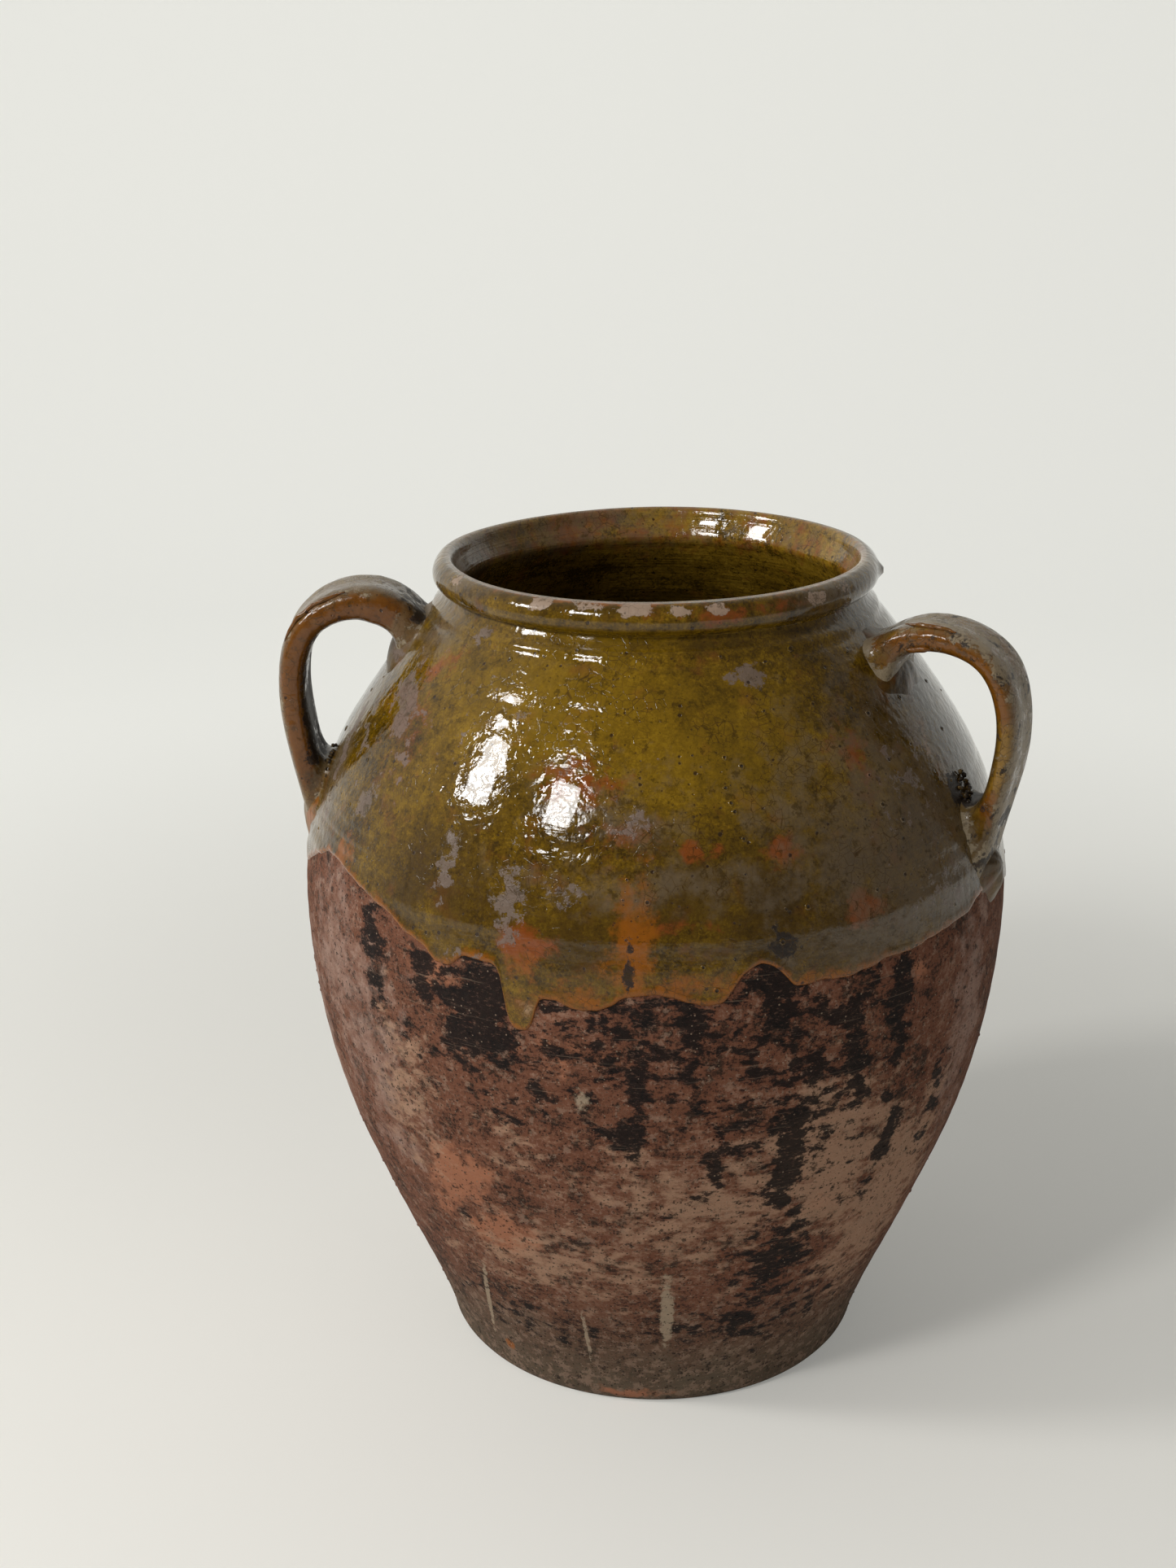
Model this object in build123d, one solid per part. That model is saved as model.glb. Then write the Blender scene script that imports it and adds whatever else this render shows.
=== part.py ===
"""Two-handled olive jar: a thrown and glazed earthenware storage jar.

The jar stands on its flat foot. Its wall is thrown as a bowl and a shoulder that meet at the
belly, with a rolled rim on top. Two pulled straps are luted to the shoulder with pads of clay,
and a lead glaze covers the inside, the straps and the upper half of the outside, where it
ends in a wavy run line.

Millimetres, +Z up, origin at the centre of the foot's resting face. The side that faces the
viewer in the photograph looks along -Y. Angles are degrees from +X towards +Y.
"""
import math
import os
from dataclasses import dataclass

from build123d import *

# Body of the jar: the bowl up to the belly, the shoulder up to the neck, and the rim
belly_height = 190.0
shoulder_height = 117.0
rim_height = 13.0
neck_height = belly_height + shoulder_height
height = neck_height + rim_height
foot_radius = 82.0
foot_bevel = 1.5
belly_radius = 136.4
neck_radius = 78.8
wall_thickness = 7.5
neck_thickness = 6.5
floor_thickness = 11.0
floor_radius = 52.0

# Rolled rim
rim_overhang = 4.9
bulge_rise = 5.6
crest_setback = 4.5
lip_width = 3.2
lip_drop = 3.2
rim_radius = neck_radius + rim_overhang
crest_radius = rim_radius - crest_setback
lip_radius = crest_radius - lip_width

# Glaze
glaze_thickness = 0.8
bond_gap = 0.05
drip_width = 9.0
drip_offset = 43.5
drip_end_drop = 12.0

# One length that is longer than the jar is wide or high, for cutting tools
overrun = 400.0

# Joints between the arcs of the outer wall, as shares of the rise and of the change in radius:
# from the belly down to the foot, and from the belly up to the neck
bowl_shares = ((0.526, 0.345), (0.79, 0.728))
shoulder_shares = ((0.256, 0.072), (0.573, 0.366), (0.889, 0.834))
# Run line of the glaze: sideways place and height, as shares of belly radius and belly height
front_run_shares = (
    (-0.97, 1.080), (-0.87, 1.152), (-0.72, 1.116), (-0.56, 1.044), (-0.44, 1.074), (-0.36, 1.040),
    (-0.28, 1.020), (-0.16, 1.000), (-0.02, 1.038), (0.14, 1.010), (0.22, 1.038), (0.42, 1.038),
    (0.64, 1.052), (0.84, 1.072), (0.93, 1.060),
)
back_run_shares = (
    (-0.93, 1.088), (-0.74, 1.110), (-0.52, 1.050), (-0.34, 1.005), (-0.18, 1.058), (0.04, 1.082),
    (0.26, 1.030), (0.40, 0.985), (0.56, 1.046), (0.78, 1.068), (0.93, 1.052),
)
run_end_share = 1.062
run_reach_share = 1.03

# Thickness of a strap along its path: share of the path, share of its thickness
strap_shares = (
    (0.0, 1.95), (0.10, 1.62), (0.21, 1.24), (0.34, 1.03), (0.54, 1.0), (0.72, 0.98), (0.86, 1.0), (1.0, 1.0),
)
strap_round_share = 0.42
# Bends of a strap: share of its reach beyond the upper root, share of its fall from the crown. Its
# reach takes it past the lower root by its stand-out
bend_shares = ((0.46, 0.0), (0.845, 0.085), (1.0, 0.29), (0.93, 0.63))


@dataclass(frozen=True)
class Pad:
    """A pad of clay smeared over the root of a strap, part of a ball. Its rise is from the root."""

    rise: float
    ball_radius: float
    proud: float


@dataclass(frozen=True)
class Strap:
    """A pulled strap handle, from its upper root below the neck to its lower root above the belly."""

    azimuth: float
    width: float
    thickness: float
    upper_root_drop: float
    crown_drop: float
    lower_root_rise: float
    stand_out: float
    upper_bury: float
    lower_bury: float
    upper_pad: Pad
    lower_pad: Pad


left = Strap(
    azimuth=182.7,
    width=31.0,
    thickness=10.5,
    upper_root_drop=18.0,
    crown_drop=5.6,
    lower_root_rise=16.0,
    stand_out=2.1,
    upper_bury=8.0,
    lower_bury=8.0,
    upper_pad=Pad(rise=0.0, ball_radius=38.0, proud=8.5),
    lower_pad=Pad(rise=11.0, ball_radius=44.0, proud=4.6),
)
right = Strap(
    azimuth=-24.0,
    width=28.0,
    thickness=8.5,
    upper_root_drop=16.5,
    crown_drop=8.2,
    lower_root_rise=17.0,
    stand_out=5.1,
    upper_bury=8.0,
    lower_bury=9.0,
    upper_pad=Pad(rise=-1.5, ball_radius=33.0, proud=8.5),
    lower_pad=Pad(rise=0.0, ball_radius=37.0, proud=7.0),
)

# Thumb print in the pad under the right strap: sideways from the pad's middle and down from it
thumb_offset = 16.0
thumb_drop = 4.0
thumb_width = 10.0
thumb_length = 18.0
thumb_depth = 1.8


def arc_chain(points):
    """Arcs through points, each tangent to the last, the first one starting upright."""
    rising = points[1][1] > points[0][1]
    tangent = Vector(0, 1 if rising else -1)
    arcs = []
    for start, end in zip(points, points[1:]):
        arc = TangentArc(start, end, tangent=tangent)
        tangent = arc % 1
        arcs.append(arc)
    return arcs


def bowl_points(skin):
    """Joints of the bowl's outline from the belly down, grown outwards by a skin."""
    points = [(belly_radius + skin, belly_height)]
    for drop, narrowing in bowl_shares:
        radius = belly_radius - (belly_radius - foot_radius) * narrowing
        points.append((radius + skin, belly_height * (1 - drop)))
    return points


def shoulder_points(skin):
    """Joints of the shoulder's outline from the belly up, grown outwards by a skin."""
    points = [(belly_radius + skin, belly_height)]
    for rise, narrowing in shoulder_shares:
        radius = belly_radius - (belly_radius - neck_radius) * narrowing
        points.append((radius + skin, belly_height + (neck_height - belly_height) * rise))
    return points


def filled(edges):
    """Turn an outline that starts and ends on the axis into a solid of revolution."""
    top = edges[-1] @ 1
    bottom = edges[0] @ 0
    face = make_face([*edges, Line(top, bottom)])
    return revolve(Plane.XZ * face, Axis.Z, 360)


def envelope(skin):
    """The outer shape of the jar, solid to its axis, grown outwards by a skin."""
    clay_top = height - glaze_thickness - bond_gap
    neck = (neck_radius + skin, neck_height)
    bulge = (rim_radius + skin, neck_height + bulge_rise)
    crest = (crest_radius, clay_top + skin)
    foot = (foot_radius + skin, foot_bevel)
    heel = (foot_radius - foot_bevel + skin, 0)
    up = arc_chain([*shoulder_points(skin), neck])
    down = arc_chain([*bowl_points(skin), foot])
    outline = [
        Line((0, 0), heel),
        Line(heel, foot),
        *reversed(down),
        *up,
        TangentArc(bulge, neck, tangent=(0, -1)),
        TangentArc(bulge, crest, tangent=(0, 1)),
        Line(crest, (0, clay_top + skin)),
    ]
    return filled(outline)


def cavity(skin):
    """The hollow of the jar, solid to its axis, shrunk inwards by a skin."""
    clay_top = height - glaze_thickness - bond_gap
    inset = -wall_thickness - skin
    bottom = floor_thickness + skin
    throat = (neck_radius - neck_thickness - skin, neck_height)
    lip = (lip_radius - skin, clay_top - lip_drop)
    crest = (crest_radius, clay_top + skin)
    up = arc_chain([*shoulder_points(inset), throat])
    down = arc_chain(bowl_points(inset))
    low = down[-1] @ 1
    outline = [
        Line((0, bottom), (floor_radius, bottom)),
        TangentArc((floor_radius, bottom), (low.X, low.Y), tangent=(1, 0)),
        *reversed(down),
        *up,
        Line(throat, lip),
        TangentArc(crest, lip, tangent=(-1, 0)),
        Line(crest, (0, clay_top + skin)),
    ]
    return filled(outline)


def slab(low, high):
    """A wide disc between two heights."""
    return Pos(0, 0, low) * Cylinder(overrun, high - low, align=(Align.CENTER, Align.CENTER, Align.MIN))


def radius_at(level):
    """Radius of the clay wall's outer side at a height above the foot."""
    points = [*shoulder_points(0), (neck_radius, neck_height)]
    if level < belly_height:
        points = [*bowl_points(0), (foot_radius, foot_bevel)]
    for arc in arc_chain(points):
        start, end = arc @ 0, arc @ 1
        if min(start.Y, end.Y) <= level <= max(start.Y, end.Y):
            centre = arc.arc_center
            side = 1 if start.X > centre.X else -1
            return centre.X + side * math.sqrt(arc.radius**2 - (level - centre.Y) ** 2)
    return foot_radius


def slope_at(level):
    """Lean of the wall at a height, in degrees from upright, positive where it closes in."""
    step = foot_bevel
    return math.degrees(math.atan2(radius_at(level - step) - radius_at(level + step), 2 * step))


def upper_root(strap):
    """Radius of the wall and height above the foot where a strap's upper root sits."""
    level = neck_height - strap.upper_root_drop
    return radius_at(level), level


def lower_root(strap):
    """Radius of the wall and height above the foot where a strap's lower root sits."""
    level = belly_height + strap.lower_root_rise
    return radius_at(level), level


def strap_path(strap):
    """Centre line of a strap, drawn in the plane of radius and height."""
    upper_radius, upper_level = upper_root(strap)
    lower_radius, lower_level = lower_root(strap)
    reach = lower_radius + strap.stand_out - upper_radius
    crown = neck_height - strap.crown_drop
    points = [(upper_radius - strap.upper_bury, upper_level)]
    for out, down in bend_shares:
        points.append((upper_radius + reach * out, crown - (crown - lower_level) * down))
    points.append((lower_radius - strap.lower_bury, lower_level))
    return Spline(*points)


def strap_solid(strap, skin):
    """A strap with its thick upper root, grown by a skin and turned to its place on the jar."""
    path = strap_path(strap)
    outer, inner = [], []
    for along, thick in strap_shares:
        half = strap.thickness * thick / 2 + skin
        centre = path @ along
        outwards = (path % along).rotate(Axis.Z, 90)
        outer.append(centre + outwards * half)
        inner.append(centre - outwards * half)
    over, under = Spline(*outer), Spline(*inner)
    side = make_face([over, Line(outer[-1], inner[-1]), under, Line(inner[0], outer[0])])
    blank = extrude(Plane.XZ * side, strap.width / 2 + skin, both=True)
    long_edges = blank.edges().filter_by(GeomType.BSPLINE)
    rounded = fillet(long_edges, strap.thickness * strap_round_share + skin)
    return Rot(0, 0, strap.azimuth) * rounded


def on_wall(azimuth, level):
    """Frame on the wall: X outwards, Y sideways and Z up the slope."""
    return Rot(0, 0, azimuth) * Pos(radius_at(level), 0, level) * Rot(0, -slope_at(level), 0)


def ellipsoid(depth, width, length):
    """An ellipsoid with full axes outwards, sideways and along the slope."""
    return scale(Sphere(1), by=(depth / 2, width / 2, length / 2))


def pad_centre(strap, pad, root):
    """Frame at the middle of the ball that a pad is part of, with X pointing out of the wall."""
    return on_wall(strap.azimuth, root[1] + pad.rise) * Pos(pad.proud - pad.ball_radius, 0, 0)


def thumb_print(centre, pad):
    """The hollow that a thumb left in a pad, with its middle on the pad's own surface."""
    swing = math.degrees(math.asin(thumb_offset / pad.ball_radius))
    tip = math.degrees(math.asin(thumb_drop / pad.ball_radius))
    on_pad = centre * Rot(0, 0, swing) * Rot(0, tip, 0) * Pos(pad.ball_radius, 0, 0)
    return on_pad * ellipsoid(2 * thumb_depth, thumb_width, thumb_length)


def below_run_line(shares, side, with_drip):
    """Everything in front of or behind the jar's middle that lies under the glaze's run line."""
    end_height = belly_height * run_end_share
    end_place = belly_radius * run_reach_share
    points = [(-end_place, end_height)]
    for across, up in shares:
        points.append((belly_radius * across, belly_height * up))
    points.append((end_place, end_height))
    corners = [(overrun, end_height), (overrun, -overrun), (-overrun, -overrun), (-overrun, end_height)]
    face = make_face([Spline(*points), Polyline(points[-1], *corners, points[0])])
    if with_drip:
        drip_length = end_height - belly_height + drip_end_drop
        drip = SlotOverall(2 * drip_length, drip_width, rotation=90)
        face = face - Pos(-drip_offset, end_height) * drip
    return extrude(Plane.XZ * face, side * overrun)


def largest(part):
    """The largest solid of a part, without the crumbs that a grazing cut leaves."""
    return max(part.solids(), key=lambda solid: solid.volume)


def build_jar():
    """Make every piece of the jar, cut against its neighbours."""
    clay = envelope(0)
    hollow = cavity(0)
    glaze_face = bond_gap + glaze_thickness
    glazed = envelope(glaze_face)
    top = height + overrun
    mouth = Cylinder(crest_radius, top, align=(Align.CENTER, Align.CENTER, Align.MIN))

    wall = clay - hollow
    pieces = {
        "lower_wall": wall & slab(0, belly_height),
        "upper_wall": wall & slab(belly_height, neck_height),
        "rim_collar": wall & slab(neck_height, top),
    }

    coat = glazed - envelope(bond_gap) - mouth
    coat = coat - below_run_line(front_run_shares, 1, True) - below_run_line(back_run_shares, -1, False)
    for side, strap in (("left", left), ("right", right)):
        core = strap_solid(strap, 0)
        upper_centre = pad_centre(strap, strap.upper_pad, upper_root(strap))
        lower_centre = pad_centre(strap, strap.lower_pad, lower_root(strap))
        upper_ball = upper_centre * Sphere(strap.upper_pad.ball_radius)
        lower_ball = lower_centre * Sphere(strap.lower_pad.ball_radius)
        lower_pad = lower_ball - clay - core
        if side == "right":
            lower_pad = lower_pad - thumb_print(lower_centre, strap.lower_pad)
        skin = strap_solid(strap, glaze_face) - glazed - strap_solid(strap, bond_gap) - upper_ball - lower_ball
        pieces[f"{side}_handle"] = largest(core - clay)
        pieces[f"{side}_upper_pad"] = largest(upper_ball - clay - core)
        pieces[f"{side}_lower_pad"] = largest(lower_pad)
        pieces[f"{side}_handle_glaze"] = largest(skin)
        coat = coat - core - upper_ball - lower_ball
    pieces["outer_glaze_coat"] = largest(coat)

    lid = mouth & slab(height - glaze_thickness, height)
    pieces["inner_glaze_lining"] = cavity(bond_gap) + lid - cavity(glaze_face)
    return pieces


def main():
    """Write one file for each piece."""
    os.makedirs("parts", exist_ok=True)
    for name, piece in build_jar().items():
        solids = piece.solids()
        print(name, len(solids), "solids", round(sum(solid.volume for solid in solids)), "mm3")
        export_step(piece, f"parts/{name}.step")


if __name__ == "__main__":
    main()
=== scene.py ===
"""Looks of the two-handled olive jar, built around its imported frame.

Lengths are in millimetres until a mesh or a lamp is made, and metres from there on. Angles are in
degrees from +X towards +Y, heights are above the foot, and the viewer's side of the jar is -Y.
"""

import itertools
import logging
import math
from dataclasses import dataclass, field, replace
from enum import Enum

import bmesh
import bpy
import numpy as np
from mathutils import Matrix, Vector

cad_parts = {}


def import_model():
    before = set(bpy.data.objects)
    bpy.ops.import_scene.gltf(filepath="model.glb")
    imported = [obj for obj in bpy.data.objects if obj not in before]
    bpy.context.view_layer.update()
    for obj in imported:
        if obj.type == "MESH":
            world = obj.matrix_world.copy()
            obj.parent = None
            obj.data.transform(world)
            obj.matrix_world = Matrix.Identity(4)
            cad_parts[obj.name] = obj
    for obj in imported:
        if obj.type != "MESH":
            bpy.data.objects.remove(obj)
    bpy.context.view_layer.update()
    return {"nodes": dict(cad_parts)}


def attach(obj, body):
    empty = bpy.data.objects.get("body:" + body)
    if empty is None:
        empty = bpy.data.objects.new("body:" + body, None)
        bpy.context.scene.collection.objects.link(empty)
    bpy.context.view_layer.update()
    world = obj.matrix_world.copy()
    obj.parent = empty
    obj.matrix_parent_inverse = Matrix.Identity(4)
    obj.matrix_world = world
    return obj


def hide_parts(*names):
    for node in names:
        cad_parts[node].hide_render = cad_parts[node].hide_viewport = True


LOG = logging.getLogger("olive_jar")
MM = 0.001
BODY = "root"
WALL_NODES = ("lower_wall", "upper_wall", "rim_collar")
# Where the mouth sagged and went out of round on the wheel
SETTLED_FROM = 292
SETTLED_OVER = 22
LOWEST_AZIMUTH = 218


class Slot(str, Enum):
    """Names of the material slots of the record. No piece in this script is given one of them."""

    CLAY = "bare_clay"
    OLIVE = "olive_glaze"
    INNER = "inner_glaze"
    HANDLE = "handle_glaze"
    PAD = "pad_glaze"


class Layer(str, Enum):
    """Stains and colours that are laid over a finish, each one a value at every vertex. The soot and deep
    layers also carry painted shade in places, and the film and haze layers a painted sheen.
    """

    SOOT = "soot"
    LIME = "lime"
    SALMON = "salmon"
    TAN = "tan"
    HAZE = "haze"
    FILM = "film"
    BLUSH = "blush"
    AMBER = "amber"
    DEEP = "deep"
    GOLD = "gold"
    CHIP = "chip"


# Noise for shapes and for ragged stain edges


def cell_value(cells: np.ndarray, seed: int) -> np.ndarray:
    """Give every whole-numbered cell its own value.

    Args:
        cells: Cell numbers, three to a row.
        seed: Which set of values to use.

    Returns:
        One value from -1 to 1 for each row.
    """
    mixed = cells @ np.array([73856093, 19349663, 83492791]) + seed * 2654435761
    mixed = (mixed ^ (mixed >> 13)) * 1274126177
    mixed = mixed ^ (mixed >> 16)
    return (mixed & 0xFFFF) / 32767.5 - 1


def soft_noise(points: np.ndarray, cell: float, seed: int) -> np.ndarray:
    """Smooth noise with lumps of about one size.

    Args:
        points: Places, three coordinates to a row.
        cell: Size of a lump, in the points' own unit.
        seed: Which noise.

    Returns:
        One value from -1 to 1 for each row.
    """
    scaled = points / cell
    base = np.floor(scaled).astype(np.int64)
    part = scaled - base
    part = part * part * part * (part * (part * 6 - 15) + 10)
    total = np.zeros(len(points))
    for corner in itertools.product((0, 1), repeat=3):
        offset = np.array(corner)
        weight = np.prod(np.where(offset, part, 1 - part), axis=1)
        total += weight * cell_value(base + offset, seed)
    return total


def rough_noise(points: np.ndarray, cell: float, seed: int, octaves: int = 3) -> np.ndarray:
    """Noise with smaller lumps on its lumps.

    Args:
        points: Places, three coordinates to a row.
        cell: Size of the largest lumps.
        seed: Which noise.
        octaves: How many sizes of lump, each half the last.

    Returns:
        One value from about -1 to 1 for each row.
    """
    total = np.zeros(len(points))
    for octave in range(octaves):
        total += soft_noise(points, cell / 2**octave, seed + octave) / 2**octave
    return total / (2 - 2 / 2**octaves)


def smooth_step(value: np.ndarray) -> np.ndarray:
    """Ease a value from 0 to 1, flat at both ends."""
    clipped = np.clip(value, 0, 1)
    return clipped * clipped * (3 - 2 * clipped)


def spline_through(points: list[tuple[float, float]], count: int) -> np.ndarray:
    """Natural cubic curve through points, in even steps along its chords.

    Args:
        points: Places that the curve passes through.
        count: How many places to return.

    Returns:
        The places along the curve, one to a row.
    """
    knots = np.array(points, float)
    steps = np.hypot(*np.diff(knots, axis=0).T)
    along = np.concatenate([[0], np.cumsum(steps)])
    size = len(knots)
    system = np.eye(size)
    right = np.zeros_like(knots)
    for i in range(1, size - 1):
        before, after = steps[i - 1], steps[i]
        system[i, i - 1 : i + 2] = before, 2 * (before + after), after
        right[i] = 6 * ((knots[i + 1] - knots[i]) / after - (knots[i] - knots[i - 1]) / before)
    bend = np.linalg.solve(system, right)
    asked = np.linspace(0, along[-1], count)
    i = np.clip(np.searchsorted(along, asked) - 1, 0, size - 2)
    step = steps[i][:, None]
    back = ((along[i + 1] - asked) / steps[i])[:, None]
    on = 1 - back
    curved = (back**3 - back) * bend[i] + (on**3 - on) * bend[i + 1]
    return back * knots[i] + on * knots[i + 1] + curved * step**2 / 6


# Where the photograph was taken from


@dataclass(frozen=True)
class Viewpoint:
    """The camera, as found from the jar's outline in the photograph. Pixels are the photograph's."""

    image_width: float = 1445.0
    image_height: float = 1927.0
    focal_pixels: float = 2673.0
    distance: float = 802.15
    eye_height: float = 501.44
    pitch: float = 18.986
    yaw: float = 1.8467
    roll: float = -0.35
    sensor: float = 36.0

    def axes(self) -> tuple[Vector, Vector, Vector]:
        """Right, up and forward directions of the view.

        Returns:
            Three unit vectors.
        """
        pitch, yaw, roll = (math.radians(a) for a in (self.pitch, self.yaw, self.roll))
        ahead = Vector((-math.sin(yaw), math.cos(yaw), 0))
        forward = ahead * math.cos(pitch) + Vector((0, 0, -math.sin(pitch)))
        level = Vector((math.cos(yaw), math.sin(yaw), 0))
        upright = level.cross(forward)
        right = level * math.cos(roll) + upright * math.sin(roll)
        up = upright * math.cos(roll) - level * math.sin(roll)
        return right, up, forward

    def eye(self) -> Vector:
        """Where the camera stands."""
        return Vector((0, -self.distance, self.eye_height))

    def ray(self, pixel: tuple[float, float]) -> Vector:
        """Direction in which the camera sees a pixel of the photograph.

        Args:
            pixel: Across and down from the photograph's top left corner.

        Returns:
            A unit vector.
        """
        right, up, forward = self.axes()
        across = pixel[0] - self.image_width / 2
        down = pixel[1] - self.image_height / 2
        return (forward * self.focal_pixels + right * across - up * down).normalized()

    def place_camera(self) -> bpy.types.Object:
        """Make the camera and set it as the scene's.

        Returns:
            The camera.
        """
        data = bpy.data.cameras.new("viewer")
        data.sensor_width = self.sensor
        data.lens = self.focal_pixels / self.image_height * self.sensor
        camera = bpy.data.objects.new("viewer", data)
        right, up, forward = self.axes()
        turn = Matrix((right, up, -forward)).transposed().to_4x4()
        camera.matrix_world = Matrix.Translation(self.eye() * MM) @ turn
        bpy.context.scene.collection.objects.link(camera)
        bpy.context.scene.camera = camera
        return camera


# The jar's section, read from the frame


class Section:
    """Outline of the clay wall: up the outside from the foot, over the crest, down to the floor's middle."""

    step = 0.5
    least_lean = 0.05
    softened_above = 296.0
    soft_window = 5
    search = 300

    def __init__(self, nodes: dict[str, bpy.types.Object]) -> None:
        """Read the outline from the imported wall.

        Args:
            nodes: The frame's nodes by name.
        """
        outside = self._half([nodes[name] for name in WALL_NODES], 1)
        inside = self._half([nodes[name] for name in WALL_NODES], -1)
        floor = float(inside[0, 1])
        line = np.concatenate([outside, inside[::-1], [[0.0, floor]]])
        lengths = np.concatenate([[0], np.cumsum(np.hypot(*np.diff(line, axis=0).T))])
        self.length = np.arange(0, lengths[-1], self.step)
        self.radius = self._curve(lengths, line[:, 0])
        self.height = self._curve(lengths, line[:, 1])
        self._soften()
        self.crest = float(self.length[np.argmax(self.height)])
        self.end = float(self.length[-1])
        along_radius = np.gradient(self.radius)
        along_height = np.gradient(self.height)
        size = np.maximum(np.hypot(along_radius, along_height), 1e-9)
        self.normal_radius = along_height / size
        self.normal_height = -along_radius / size

    def _half(self, walls: list[bpy.types.Object], side: int) -> np.ndarray:
        """Radius and height of the vertices on the outer or inner side of the walls, by height.

        Args:
            walls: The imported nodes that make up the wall.
            side: 1 for the outside, -1 for the inside.

        Returns:
            Radii and heights, a pair to a row.
        """
        found = []
        for wall in walls:
            mesh = wall.data
            normals, middles = read_all(mesh.polygons, "normal"), read_all(mesh.polygons, "center")
            corners = read_all(mesh.loops, "vertex_index", 1).astype(int)
            lean = (normals[:, :2] * middles[:, :2]).sum(1) / np.hypot(middles[:, 0], middles[:, 1])
            kept = corners.reshape(-1, 3)[lean * side > self.least_lean]
            found.append(vertex_places(wall)[np.unique(kept)])
        points = np.concatenate(found)
        radius = np.hypot(points[:, 0], points[:, 1])
        level = np.round(points[:, 2] / self.step).astype(int)
        rows = []
        for one in np.unique(level):
            here = level == one
            rows.append((radius[here].mean(), points[here, 2].mean()))
        return np.array(rows)

    def _curve(self, lengths: np.ndarray, values: np.ndarray) -> np.ndarray:
        """Cubic curve through the outline's values, read at even steps.

        Args:
            lengths: How far along the outline each value is.
            values: Radii or heights.

        Returns:
            The values at even steps.
        """
        slopes = np.gradient(values, lengths)
        i = np.clip(np.searchsorted(lengths, self.length, side="right") - 1, 0, len(lengths) - 2)
        span = lengths[i + 1] - lengths[i]
        t = (self.length - lengths[i]) / span
        start = (2 * t**3 - 3 * t**2 + 1) * values[i] + (t**3 - 2 * t**2 + t) * span * slopes[i]
        return start + (3 * t**2 - 2 * t**3) * values[i + 1] + (t**3 - t**2) * span * slopes[i + 1]

    def _soften(self) -> None:
        """Round the corners of the rim and of the groove under it."""
        window = np.ones(self.soft_window) / self.soft_window
        high = self.height > self.softened_above
        for name in ("radius", "height"):
            values = getattr(self, name)
            padded = np.pad(values, self.soft_window // 2, mode="edge")
            values[high] = np.convolve(padded, window, mode="valid")[high]

    def at(self, length: np.ndarray, out: np.ndarray | float) -> tuple[np.ndarray, np.ndarray]:
        """Radius and height of places on the wall.

        Args:
            length: How far along the outline from the foot.
            out: How far out of the clay.

        Returns:
            Radii and heights.
        """
        radius = np.interp(length, self.length, self.radius)
        height = np.interp(length, self.length, self.height)
        lean_out = np.interp(length, self.length, self.normal_radius)
        lean_up = np.interp(length, self.length, self.normal_height)
        return np.maximum(radius + lean_out * out, 0), height + lean_up * out

    def length_at(self, height: np.ndarray | float, inside: bool = False) -> np.ndarray:
        """How far along the outline a height is, on the outside or the inside.

        Args:
            height: Height above the foot.
            inside: Whether the inner side is meant.

        Returns:
            Lengths along the outline from the foot.
        """
        outer = self.length <= self.crest
        if inside:
            return np.interp(height, self.height[~outer][::-1], self.length[~outer][::-1])
        return np.interp(height, self.height[outer], self.length[outer])

    def radius_at(self, height: np.ndarray | float) -> np.ndarray:
        """Outer radius of the clay at a height."""
        return np.interp(self.length_at(height), self.length, self.radius)

    def on_wall(
        self, azimuth: float, height: float, across: np.ndarray, up: np.ndarray, out: np.ndarray | float
    ) -> np.ndarray:
        """Places around a spot on the outside of the wall.

        Args:
            azimuth: Direction of the spot.
            height: Height of the spot.
            across: Distances from it along the wall, anticlockwise seen from above.
            up: Distances from it up the slope.
            out: Distances out of the clay.

        Returns:
            The places, one to a row.
        """
        radius, level = self.at(self.length_at(height) + up, out)
        turn = math.radians(azimuth) + across / np.maximum(self.radius_at(height), 1)
        return np.stack([radius * np.cos(turn), radius * np.sin(turn), level], axis=-1)

    def seen(self, view: Viewpoint, pixel: tuple[float, float]) -> tuple[float, float]:
        """Azimuth and height of the spot on the outside of the wall that a pixel shows.

        Args:
            view: Where the photograph was taken from.
            pixel: Across and down in the photograph.

        Returns:
            Azimuth in degrees, and height.
        """
        eye, ray = view.eye(), view.ray(pixel)
        travel = np.arange(view.distance - self.search, view.distance + self.search, 1.0)
        spots = np.array(eye) + travel[:, None] * np.array(ray)
        spots = spots[(spots[:, 2] > 0) & (spots[:, 2] < self.height.max())]
        gap = np.hypot(spots[:, 0], spots[:, 1]) - self.radius_at(spots[:, 2])
        met = np.flatnonzero(gap <= 0)
        spot = spots[met[0] if len(met) else np.argmin(gap)]
        return math.degrees(math.atan2(spot[1], spot[0])), float(spot[2])


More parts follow.
